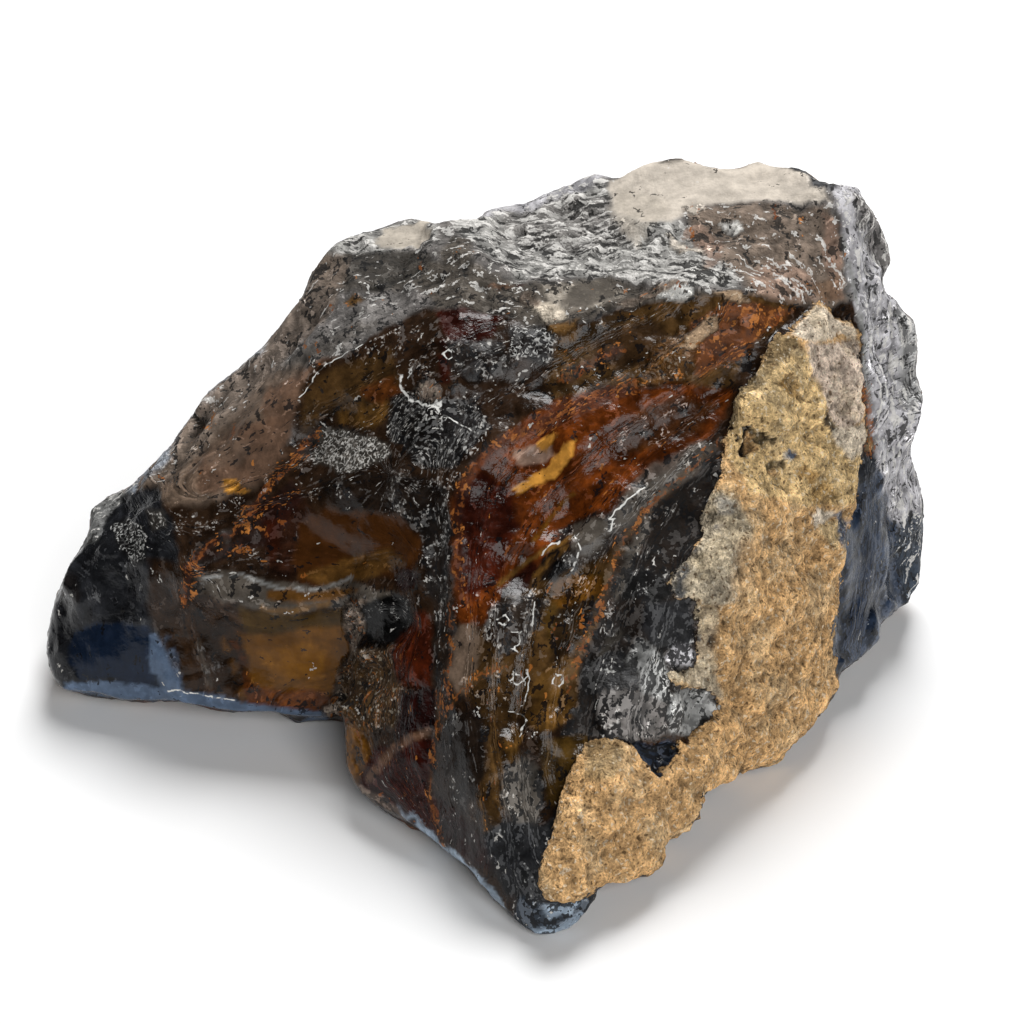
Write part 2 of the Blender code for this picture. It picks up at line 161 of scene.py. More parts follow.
# Patches of colour on the faces that the eye sees: what it is, its finish, its colour, how softly
# it ends in millimetres, how much it covers, and its corners on the sheet's grid.
AREAS = (
    ("top", "dusty", "ash", 1, 1,
        "240,418 298,372 347,350 387,324 426,309 498,314 534,324 582,321 648,301 746,291 790,300 862,300 "
        "892,240 870,170 800,140 700,130 600,150 520,180 440,195 380,200 320,225 270,300 225,360 190,400 "
        "200,440"),
    ("top left grey", "faint", "ash", 1.2, 1,
        "262,352 320,250 400,248 445,262 440,300 400,318 350,348 300,372 262,405"),
    ("top left dark", "faint", "drab", 0.8, 0.85, "330,262 420,254 440,275 400,290 340,292 318,275"),
    ("left brow pale", "faint", "drab", 1.2, 0.6,
        "245,392 300,350 350,325 380,322 340,345 295,372 255,400"),
    ("back rim pale", "powder", "pebble", 0.7, 1,
        "322,262 335,245 352,236 380,228 405,219 430,223 442,238 420,248 380,253 340,266"),
    ("top left pattern", "powder", "pebble", 0.5, 0.9,
        "322,262 335,246 352,237 378,232 380,246 350,256 330,262"),
    ("top left cream", "clay", "bone", 0.4, 0.9,
        "376,246 384,230 404,224 424,228 432,238 420,248 396,249"),
    ("top dark band", "faint", "charcoal", 0.6, 0.9,
        "318,262 350,257 382,252 430,254 436,266 400,285 350,288 318,286"),
    ("knob", "dusty", "drab", 0.6, 1, "440,252 452,236 468,238 474,255 462,270 444,268"),
    ("pale hollow", "powder", "pebble", 0.8, 1,
        "452,226 480,215 500,210 560,192 600,186 640,205 700,235 740,262 735,285 690,286 640,280 590,277 "
        "530,276 500,262 478,248"),
    ("hollow dark streaks", "powder", "ash", 0.9, 0.7,
        "505,215 560,195 612,195 640,232 600,252 545,250 500,240"),
    ("hollow bright", "powder", "pebble", 0.9, 0.8,
        "500,258 560,262 620,258 700,250 735,270 690,285 600,275 520,276"),
    ("rim dark left", "dusty", "mist", 0.5, 1,
        "480,222 500,205 545,192 590,176 612,178 590,188 545,205 505,220"),
    ("dark ledge band", "dusty", "drab", 0.8, 1,
        "430,262 470,262 500,276 545,283 600,279 640,283 690,292 740,296 648,301 582,321 534,326 498,316 "
        "436,309 415,285"),
    ("ledge brown", "dusty", "bone", 0.8, 0.8, "545,285 600,281 625,292 600,305 560,308"),
    ("ledge smooth", "clay", "drab", 0.4, 0.9, "560,301 574,284 600,279 616,283 612,298 590,306 570,307"),
    ("cream", "clay", "cream", 0.6, 1,
        "608,188 625,173 650,164 683,158 712,166 745,168 775,171 800,180 828,196 830,203 790,201 750,202 "
        "715,203 692,208 668,226 645,226 620,212"),
    ("cream yellow", "clay", "cream", 0.8, 0.6, "630,190 655,172 680,176 668,194 640,203"),
    ("cream low", "clay", "bone", 1.2, 0.6, "620,190 660,196 668,210 650,232 636,246 622,232 610,208"),
    ("rim chip a", "dusty", "charcoal", 0.4, 1, "664,164 672,157 692,157 706,166 688,165"),
    ("rim chip b", "slate", "coal", 0.5, 1,
        "744,166 758,158 800,166 830,180 856,186 838,196 812,188 780,176 756,172"),
    ("brown facet", "dusty", "taupe", 0.7, 1,
        "685,212 715,205 770,204 828,208 840,240 846,300 830,312 790,302 752,295 735,270 700,245"),
    ("facet pale", "powder", "rosy", 0.9, 0.7,
        "752,270 775,262 800,267 816,280 816,300 790,303 765,300 752,288"),
    ("facet red edge", "dusty", "rosy", 0.5, 0.9, "822,212 835,222 842,262 845,300 830,300 824,255"),
    ("facet rust", "dusty", "rosy", 0.35, 0.7,
        "685,228 700,224 712,231 723,244 721,262 708,267 703,254 696,244 684,238"),
    ("facet rust 2", "dusty", "leather", 0.6, 0.6, "806,285 838,275 842,300 826,306"),
    ("wing upper", "hazy", "mocha", 1.8, 0.85,
        "200,440 240,400 262,372 300,366 318,372 300,420 285,452 262,478 215,510 160,500 130,505 110,500 "
        "120,480 150,450"),
    ("wing dust", "hazy", "umber", 1.2, 0.8, "190,462 230,430 290,415 300,440 262,480 215,496 185,490"),
    ("wing brow brown", "hazy", "umber", 1, 0.8,
        "262,395 300,372 330,355 350,356 322,392 300,420 270,430"),
    ("wing ruddy", "quartz", "mocha", 0.9, 0.8, "160,470 195,448 205,460 195,480 200,500 178,506 160,492"),
    ("wing smudge", "hazy", "mocha", 1.2, 0.5, "202,455 215,440 232,434 248,447 238,462 215,468"),
    ("slope shine", "faint", "taupe", 1, 0.8,
        "140,480 172,446 212,392 264,344 306,292 328,258 352,262 328,312 280,362 236,408 198,452 160,490"),
    ("wing dark belt", "black", "char brown", 0.9, 1,
        "150,505 190,512 240,498 262,505 270,530 262,575 235,580 190,565 165,560 150,535"),
    ("wing tip", "smoky", "coal", 0.8, 1,
        "40,700 40,600 70,550 92,508 125,492 160,490 175,520 178,570 175,620 160,700"),
    # Tip rim: a pale line painted as the highlight along the wing tip's upper edge.
    ("tip pale rim", "powder", "dove", 0.5, 0.8, "88,545 90,508 110,494 130,488 112,512 98,540"),
    ("tip ruddy", "smoky", "soot", 0.8, 0.5, "62,585 78,575 82,600 68,610"),
    ("tip net", "net", "pitch", 0.8, 0.9, "112,525 125,515 145,530 150,560 140,570 118,548"),
    ("tip net b", "net", "charcoal", 0.7, 0.8, "148,508 166,508 168,528 152,532"),
    ("blue window", "glassy", "navy", 0.7, 1,
        "72,632 98,622 150,626 156,650 152,680 110,676 80,680 68,660"),
    ("blue streak", "glassy", "navy", 0.8, 0.9, "118,640 150,640 176,652 182,696 128,698 112,672"),
    ("wing upright", "glassy", "steel", 0.5, 0.9, "149,634 168,640 183,691 160,693 149,670"),
    ("wing purple brown", "smoky", "char brown", 0.9, 1,
        "150,560 190,565 235,585 248,620 232,660 240,700 185,700 165,650 148,610"),
    ("rust spot", "rusty", "soot", 0.7, 0.9, "182,585 188,560 200,548 206,560 200,590 190,606"),
    ("rust vein glow", "rusty", "oxblood", 0.9, 0.6,
        "200,560 235,540 262,505 300,470 310,480 290,520 262,545 225,560"),
    ("gold fleck", "quartz", "gold", 0.25, 1, "226,481 236,480 248,493 232,496 225,491"),
    ("dark red", "quartz", "maroon", 1.8, 0.35, "262,505 300,495 312,515 300,560 290,580 270,575 262,545"),
    ("dark red b", "quartz", "garnet", 1.5, 0.4, "262,520 276,515 280,545 270,560"),
    ("amber", "glassy", "cola", 1, 1,
        "292,560 300,525 330,508 385,512 416,528 424,552 408,580 372,572 345,584 300,586"),
    ("amber edge", "glassy", "cola", 0.7, 0.8, "385,514 418,528 424,552 412,560 405,535"),
    ("amber yellow", "quartz", "bronze", 0.8, 0.6, "300,575 345,560 385,548 405,560 370,578 330,588"),
    ("dark knot", "black", "oxblood", 0.5, 1, "394,578 398,566 410,564 420,572 418,586 404,592"),
    ("ledge band", "glaze", "drab", 0.6, 0.9,
        "198,576 222,570 250,573 281,586 327,588 352,580 372,588 392,592 380,604 352,604 327,608 278,615 "
        "252,610 222,603 202,592"),
    ("ledge band olive", "glaze", "honey", 0.5, 0.9,
        "268,590 300,594 330,592 352,588 362,594 330,602 290,604 270,600"),
    ("window olive", "glassy", "olive", 0.8, 1, "235,608 262,612 300,616 343,608 346,630 300,636 250,640"),
    ("window gold", "glassy", "honey", 0.9, 1,
        "238,636 300,630 346,626 348,655 330,694 300,702 262,700 246,672"),
    ("window bright", "glassy", "bright honey", 0.8, 0.9,
        "256,648 300,645 330,652 322,676 290,680 262,664"),
    ("window ruddy", "quartz", "sienna", 0.8, 0.9,
        "244,684 270,690 320,690 338,700 330,716 290,714 250,706"),
    ("crust frame", "crusty", "taupe", 0.6, 1,
        "340,606 368,598 364,620 358,645 362,665 352,690 344,716 318,716 332,694 348,655"),
    # Black hollow: painted near black as shade in the sunk hollow.
    ("black hollow", "black", "pitch", 0.5, 1,
        "359,615 372,600 392,594 410,602 412,622 402,642 384,650 364,644"),
    ("lower crust", "crusty", "tobacco", 0.8, 1,
        "344,655 362,648 395,648 408,672 424,700 420,722 392,726 362,736 344,718 340,690"),
    ("maroon", "quartz", "garnet", 0.7, 1,
        "392,655 402,635 416,612 434,612 437,665 430,690 412,690 400,676"),
    ("maroon low", "quartz", "oxblood", 0.9, 1, "404,690 434,690 436,726 412,742 396,735"),
    ("toe gold edge", "quartz", "honey", 0.8, 1, "340,722 368,728 372,756 358,786 340,778"),
    ("toe maroon", "quartz", "maroon", 0.8, 1,
        "358,780 372,752 396,742 432,738 434,790 442,845 412,826 385,806"),
    ("toe rim clear", "blue", "taupe", 0.4, 0.5, "344,768 360,782 388,802 410,818 396,822 366,802"),
    # Toe rim: bluish stone, with light from the pale floor painted on it.
    ("toe rim blue", "glassy", "pale steel", 0.4, 0.9,
        "396,806 434,834 462,858 480,876 500,898 516,920 506,926 480,888 440,850"),
    ("centre black", "black", "char brown", 1, 1,
        "300,385 330,358 390,326 440,312 500,322 560,328 600,345 570,385 520,415 480,450 460,500 448,540 "
        "448,700 432,690 426,560 416,525 385,510 330,508 300,500 286,470 288,440"),
    ("centre brown", "smoky", "tobacco", 1.1, 0.9,
        "302,392 340,365 390,350 400,385 380,400 330,410 300,432"),
    ("centre ruddy", "smoky", "sienna", 0.9, 0.8, "360,388 392,378 402,395 380,405"),
    ("centre gold brown", "smoky", "bronze", 0.9, 0.8, "338,408 385,398 400,412 372,428 340,424"),
    ("red patch", "smoky", "maroon", 0.8, 0.95, "436,310 470,308 500,318 492,334 470,345 452,345"),
    ("net left", "net", "charcoal", 0.5, 1,
        "306,430 325,424 350,432 388,440 392,455 370,468 340,470 312,462"),
    ("net middle", "crest", "pitch", 0.8, 0.9,
        "388,398 420,392 470,402 488,425 468,450 448,472 415,462 392,440"),
    ("net low", "crest", "pitch", 0.8, 0.8, "385,500 420,482 446,490 450,540 446,600 430,600 420,540"),
    ("net high", "net", "pitch", 0.7, 0.9, "508,328 540,322 572,334 575,356 540,368 512,358"),
    ("net high b", "crest", "pitch", 0.8, 0.7, "440,340 500,340 520,365 480,385 445,372"),
    ("centre olive", "black", "soot", 1, 0.9, "311,478 360,470 430,476 448,500 415,516 340,512"),
    ("pinkish tan", "crusty", "taupe", 0.35, 0.9, "413,393 420,381 433,379 443,388 440,399 426,401"),
    ("upper brown", "quartz", "tobacco", 1, 1,
        "560,332 600,322 650,303 700,297 746,292 795,302 772,335 745,350 735,385 700,395 640,388 600,384 "
        "560,405 545,380"),
    ("upper rust", "rusty", "sienna", 0.9, 0.85,
        "690,320 730,300 790,310 764,335 735,360 700,375 690,350"),
    ("upper olive", "smoky", "char brown", 0.9, 0.7, "590,335 650,320 672,345 640,370 600,365"),
    ("upper speckle", "crusty", "honey", 0.8, 0.7, "655,345 680,330 700,350 690,380 655,400 635,385"),
    ("eye rust red", "quartz", "ember", 1, 1,
        "452,500 478,455 520,420 565,398 640,386 700,384 736,392 715,430 664,468 640,482 604,520 570,545 "
        "530,572 500,602 474,630 456,620 450,550"),
    ("eye amber", "quartz", "ember", 0.9, 0.95,
        "560,420 600,398 650,394 662,402 648,418 612,426 585,436 566,440"),
    ("eye dark", "black", "cola", 0.9, 0.85, "640,405 690,398 722,408 700,430 660,445 625,455 615,435"),
    ("eye brown", "quartz", "ember", 0.9, 0.9,
        "600,425 618,450 590,490 560,520 540,545 520,560 530,520 556,480 580,445"),
    ("eye ruddy low", "quartz", "maroon", 0.9, 0.9,
        "456,500 480,470 510,490 520,530 500,575 476,600 458,590"),
    ("pale lilac", "glaze", "rosy", 0.5, 0.9, "512,452 528,447 552,448 556,456 540,464 522,462"),
    ("gold eye", "silk", "gold", 0.22, 1,
        "513,488 528,482 544,470 556,456 566,443 577,440 575,452 562,470 548,482 530,492 518,494"),
    ("gold eye small", "silk", "gold", 0.25, 0.95, "538,446 546,436 555,436 550,448 542,452"),
    ("dark bead", "black", "pitch", 0.5, 0.95, "500,588 515,576 522,590 512,606 502,604"),
    ("dark red pool", "quartz", "oxblood", 0.7, 0.9, "508,575 530,560 545,572 530,600 512,612"),
    ("olive field", "wet", "tobacco", 0.8, 1,
        "476,640 500,604 530,580 560,560 600,545 624,545 612,576 597,618 585,655 572,690 545,715 505,728 "
        "478,712 466,676"),
    ("olive gold", "wet", "olive", 0.8, 0.8, "540,600 580,570 612,572 600,600 580,640 552,655 545,625"),
    ("olive dark", "wet", "soot", 0.7, 0.8, "556,610 590,590 596,612 575,650 550,660"),
    ("black window", "black", "pitch", 0.5, 1, "540,562 560,545 578,545 576,566 556,582 542,580"),
    ("grey bright", "crest", "soot", 0.7, 0.9, "486,610 520,590 545,600 530,640 505,655 484,640"),
    ("grey bright b", "crest", "soot", 0.8, 0.85, "560,530 600,510 625,520 612,550 575,570 556,560"),
    # Pale upright: a pale patch painted as a highlight.
    ("pale upright", "glaze", "mocha", 0.6, 0.8,
        "451,640 460,625 474,623 481,640 478,666 468,689 457,691 452,670"),
    ("pocket brown", "wet", "bronze", 0.8, 0.8, "540,690 575,660 590,680 570,720 545,735 525,720"),
    ("grey smooth", "glaze", "drab", 0.4, 0.9,
        "573,546 575,528 590,519 612,520 618,532 606,542 592,556 580,553"),
    ("tan shelf", "wet", "honey", 0.4, 0.9, "547,601 555,585 575,574 600,575 605,588 585,600 560,607"),
    ("tan pocket", "glaze", "bronze", 0.4, 0.9, "529,696 536,676 550,665 568,669 560,691 545,701"),
    ("slate face", "slate", "soot", 0.7, 1,
        "714,450 726,470 728,500 706,545 694,600 690,650 716,700 700,730 650,740 600,745 575,770 560,790 "
        "556,760 572,700 598,620 618,580 645,545 680,500"),
    ("slate upper", "matt_black", "soot", 0.6, 0.9,
        "652,505 690,480 712,480 702,528 684,560 664,574 640,566 648,530"),
    ("grey tongue", "crest", "drab", 0.8, 0.8,
        "640,470 700,440 716,446 690,478 650,505 628,530 612,530 620,500"),
    ("slate black", "matt_black", "pitch", 0.6, 0.95,
        "620,582 640,572 664,575 674,590 660,602 636,602 622,598"),
    ("slate strip", "slate", "drab", 0.4, 0.85,
        "652,512 646,535 634,560 624,588 614,604 620,575 628,548 640,526"),
    ("slate net", "slate", "coal", 0.6, 0.9, "648,602 688,600 694,620 692,642 670,646 650,642 640,625"),
    ("dark left", "slate", "pitch", 0.8, 0.9, "585,660 625,650 636,672 628,690 600,692 585,692 578,680"),
    ("grey green", "slate", "dove", 0.6, 0.95,
        "628,656 640,640 652,645 662,655 668,672 666,702 645,702 636,680"),
    ("slate streaked", "slate", "ash", 0.5, 0.95,
        "600,690 640,692 666,700 670,735 640,742 606,737 596,715"),
    ("blue grey b", "slate", "dove", 0.4, 1,
        "668,694 688,687 706,691 708,703 719,709 717,719 701,722 690,736 672,734 668,712"),
    ("grey patch", "slate", "mist", 0.4, 0.9, "664,655 676,640 690,642 698,654 690,668 684,664 672,664"),
    ("grey leaf", "glaze", "charcoal", 0.25, 0.9, "617,626 621,633 612,648 601,659 599,651 606,638"),
    ("sparkle a", "net", "char brown", 0.4, 0.9, "602,597 612,592 617,604 609,618 601,612"),
    ("sparkle b", "net", "soot", 0.3, 0.9, "595,629 605,622 607,633 598,637"),
    ("dark wedge", "slate", "ink", 0.25, 1,
        "630,742 650,748 668,742 682,745 672,760 655,779 648,769 640,756"),
    ("toe black", "black", "soot", 0.7, 1, "446,716 478,704 486,740 482,790 462,812 450,792 444,756"),
    ("toe brown", "quartz", "tobacco", 0.7, 1,
        "482,716 512,728 520,760 506,800 500,830 480,830 478,790 488,750"),
    ("toe gold", "quartz", "bronze", 0.5, 0.9, "502,742 516,726 524,738 510,762"),
    ("toe grey", "slate", "drab", 0.6, 1, "500,770 524,756 538,766 540,800 532,838 514,826 502,800"),
    ("toe ruddy", "smoky", "olive", 0.7, 1, "540,740 580,735 596,745 572,778 560,812 546,800"),
    ("toe slate", "slate", "coal", 0.7, 1,
        "478,836 505,820 545,826 560,800 556,850 545,885 545,915 520,905 496,880"),
    ("toe left brown", "smoky", "oxblood", 0.8, 1, "436,790 460,812 480,835 495,872 470,862 440,836"),
    ("toe tip", "slate", "slate blue", 0.5, 1,
        "520,895 545,906 580,892 600,880 606,900 575,940 540,950 510,930"),
    # Toe tip pale: bluish stone, with light from the pale floor painted on it.
    ("toe tip pale", "glassy", "pale steel", 0.5, 0.8,
        "514,915 530,930 556,930 580,914 585,925 555,944 530,944"),
    ("toe low pale streak", "slate", "pale steel", 0.4, 0.6, "540,905 575,900 592,888 575,912 550,922"),
    # Bottom rim: bluish stone, with light from the pale floor painted on it.
    ("bottom rim blue", "glassy", "steel", 0.4, 0.95,
        "64,684 110,680 150,690 200,692 250,704 330,714 330,724 235,716 170,706 100,698 66,694"),
    # The right wall: grey stone whose pale silver is partly a painted reflection of the bright
    # surroundings.
    ("right wall", "wall", "mist", 0.5, 1,
        "838,180 870,170 930,300 950,450 950,620 890,640 880,560 880,500 874,450 868,400 862,345 852,290 "
        "842,230"),
    ("wall bright strip", "wall", "mist", 0.5, 0.95,
        "834,190 846,190 856,240 866,300 874,350 868,360 858,320 846,262"),
    ("wall dark upper", "wall", "ash", 0.6, 0.9, "852,190 866,200 890,250 884,282 872,262 860,225"),
    ("wall pale lower", "wall", "mist", 0.7, 0.8,
        "868,300 890,300 900,360 905,440 900,500 886,440 876,360"),
    ("wall edge dark", "wall", "dove", 0.6, 0.8,
        "896,300 914,322 916,360 922,400 912,420 900,400 898,350"),
    ("wall lower dark", "wall", "drab", 0.6, 0.85, "896,520 905,515 918,545 918,575 905,562 896,545"),
    # Blue block: bluish stone, its dark blue partly painted shade, darkest at its foot.
    ("blue block", "blue", "ink", 0.6, 1,
        "858,462 873,450 886,490 896,530 905,560 925,575 918,600 890,622 868,656 836,680 832,640 834,600 "
        "842,560 850,515"),
    ("blue block dark", "blue", "navy", 0.8, 0.8, "845,560 870,545 885,590 860,640 838,650"),
    ("block top dark", "matt_black", "coal", 0.4, 0.9, "862,456 872,448 876,468 866,480 858,472"),
    ("block grey right", "wall", "slate blue", 0.6, 0.9, "896,520 925,500 928,585 905,610 896,570"),
    ("chip beige", "chip", "shell", 0.3, 1,
        "533,306 542,301 558,300 563,308 569,315 556,319 546,319 538,312"),
    ("chip gold", "chip", "bronze", 0.4, 0.9, "545,320 560,321 577,318 572,328 556,331"),
    ("chip white", "chip", "chalk", 0.3, 1, "660,296 672,286 690,285 694,296 684,303 672,300"),
    ("chip band", "chip", "tan", 0.25, 0.95, "711,292 728,290 742,293 749,302 738,304 724,300"),
    ("chip long", "chip", "tan", 0.3, 1, "686,348 690,332 704,314 716,314 716,326 704,342 694,352"),
    ("chip small", "chip", "taupe", 0.3, 0.9, "519,301 526,293 536,295 546,302 538,307 526,306"),
    ("flat chip", "chip", "cream", 0.25, 0.95, "662,236 682,242 702,249 706,256 690,253 676,253 668,245"),
    ("flat chip b", "chip", "chalk", 0.25, 0.95, "721,225 736,221 743,229 730,234"),
    ("flat chip c", "chip", "cream", 0.25, 0.9, "683,208 700,203 705,211 692,218"),
    ("ledge ribbon", "chip", "taupe", 0.25, 0.9,
        "614,307 628,296 650,289 676,280 686,282 664,292 645,301 630,307"),
    ("orange spot", "rusty", "bronze", 0.35, 0.95, "343,300 352,295 364,300 356,307"),
    ("ruddy spot", "dusty", "umber", 0.4, 0.9, "488,284 500,281 512,285 500,289"),
    ("ruddy spot b", "dusty", "maroon", 0.4, 0.8, "514,282 522,279 530,283 522,287"),
)

# The rind of sandy rock: its outline on the sheet's grid, and the patches of colour on it.
RIND_OUTLINE = (
    "808,306 820,303 828,310 833,318 850,322 857,332 858,345 862,360 861,385 858,398 862,410 866,425 "
    "867,440 862,452 856,470 857,490 852,512 846,530 843,545 838,578 834,624 834,656 838,690 822,712 "
    "806,728 792,742 772,768 742,772 722,784 706,792 698,816 684,832 668,845 652,872 632,878 606,884 "
    "597,890 575,900 545,900 540,890 540,870 546,850 556,820 560,800 566,778 578,755 588,742 602,737 "
    "618,740 634,747 640,760 652,778 662,772 682,752 676,742 690,736 702,722 716,718 718,708 710,698 "
    "705,690 690,686 672,688 664,680 668,667 680,674 688,668 698,656 694,642 697,620 694,602 684,600 "
    "675,600 671,590 672,578 684,562 694,548 702,535 700,520 706,508 716,490 722,470 722,455 724,440 "
    "732,420 734,400 740,386 752,378 762,362 770,345 778,333 786,336 792,330 800,318"
)
RIND_TINT = "sand"
RIND_AREAS = (
    ("rind grey strip", "stone grey", 0.7, 0.95,
        "700,520 712,498 724,494 738,500 746,520 750,545 754,570 750,590 735,600 716,606 700,604 680,600 "
        "671,590 674,576 690,556 700,540"),
    ("rind yellow", "straw", 0.8, 1,
        "726,415 738,392 760,372 790,356 806,355 818,380 822,412 840,424 866,424 862,470 848,505 800,505 "
        "750,495 728,460"),
    ("rind cream top", "shell", 0.3, 0.9,
        "792,338 800,322 814,306 826,312 834,322 852,326 857,342 840,336 826,338 812,344 802,340"),
    ("rind grey crust", "earth", 0.3, 0.95,
        "766,350 778,334 796,340 806,352 800,356 786,358 772,372 760,384 750,388 742,404 738,422 730,432 "
        "732,404 738,388 752,378"),
    ("rind pink crust", "blush", 0.4, 0.95,
        "806,345 830,342 856,340 862,372 858,400 862,420 850,424 836,428 828,418 820,404 818,384 808,362"),
    ("rind pale right", "shell", 0.4, 0.9, "828,430 846,424 864,424 866,440 858,456 850,462 838,448"),
    # Dark crack: painted dark as shade in the crack.
    ("rind dark crack", "coal", 0.2, 0.9, "818,408 826,414 832,424 836,432 828,434 820,422"),
    ("rind low grey", "stone grey", 0.6, 0.8, "697,606 714,606 718,640 712,670 700,660 694,640"),
    ("rind pink tan", "stone grey", 0.4, 0.9,
        "664,680 668,666 690,668 705,655 712,680 716,700 706,692 690,686"),
    ("rind edge grey", "slate blue", 0.35, 0.85,
        "694,548 700,552 688,580 686,600 698,604 700,640 693,640 690,604 674,598 672,578"),
    # The hollow, pits, slit and crevice below are painted darker than the sand as shade in the holes.
    ("hollow up", "ochre", 0.5, 0.9, "782,380 792,374 800,384 804,398 792,398 780,392 774,384"),
    ("pit a", "pitch", 0.15, 1, "741,425 751,424 753,436 750,448 744,461 740,452 742,440"),
    ("pit a floor", "sand", 0.2, 0.95, "746,430 752,431 753,445 748,455 745,450"),
    ("pit slit", "pitch", 0.15, 1, "734,441 737,434 740,438 738,447 734,447"),
    ("pit b", "earth", 0.15, 1, "750,426 762,430 773,435 773,442 762,441 756,445 752,440"),
    ("pit c", "earth", 0.2, 0.95, "762,463 770,459 780,461 785,469 777,467 769,467 765,475 760,474"),
    ("pit c floor", "sand", 0.3, 0.9, "767,467 776,468 778,474 770,477 765,476"),
    ("crevice", "ochre", 0.25, 0.9, "792,470 800,466 802,472 814,476 812,482 806,486 802,480 794,478"),
    ("tan hollow", "ochre", 0.9, 0.7, "808,486 826,480 836,494 826,506 808,500"),
    ("bluish speck a", "steel", 0.2, 0.95, "777,454 784,449 791,454 787,461 780,460"),
    ("bluish spot c", "pebble", 0.4, 0.9, "716,506 724,500 735,505 733,517 722,517"),
    ("bluish spot d", "ash", 0.3, 0.85, "715,524 724,521 727,530 718,532"),
    ("bluish spot e", "pebble", 0.3, 0.75, "756,535 764,535 765,548 757,547"),
    ("grey chip", "shell", 0.15, 0.95, "812,510 820,507 830,512 826,522 814,524"),
    ("bluish speck b", "steel", 0.25, 0.95, "828,513 838,509 847,523 843,540 838,553 834,540 832,524"),
    ("yellow block", "pale straw", 0.15, 0.95, "818,525 830,520 836,534 832,548 822,540"),
    ("dark speck c", "pitch", 0.15, 0.9, "821,542 828,541 829,549 824,550"),
    ("dark speck b", "coal", 0.2, 0.95, "707,636 716,634 720,645 714,650 706,643"),
    ("dark speck d", "coal", 0.12, 1, "738,764 745,764 745,770 738,771"),
    ("ruddy crumbs", "ochre", 0.9, 0.6, "726,740 746,736 750,752 736,760 722,750"),
    ("rind orange", "sand", 2.5, 0.8,
        "740,540 800,520 840,560 834,640 830,690 770,750 700,790 680,830 620,870 570,880 570,830 600,790 "
        "660,785 720,725 716,640"),
    ("rind tan patch", "earth", 0.7, 0.7, "586,745 600,738 618,742 624,752 618,775 600,782 586,776"),
)

# How deep some patches are sunk, in millimetres.
SUNK = {
    "pit a": 0.9,
    "pit slit": 0.6,
    "pit b": 0.7,
    "pit c": 0.6,
    "hollow up": 0.5,
    "dark wedge": 0.8,
    "black hollow": 0.4,
}

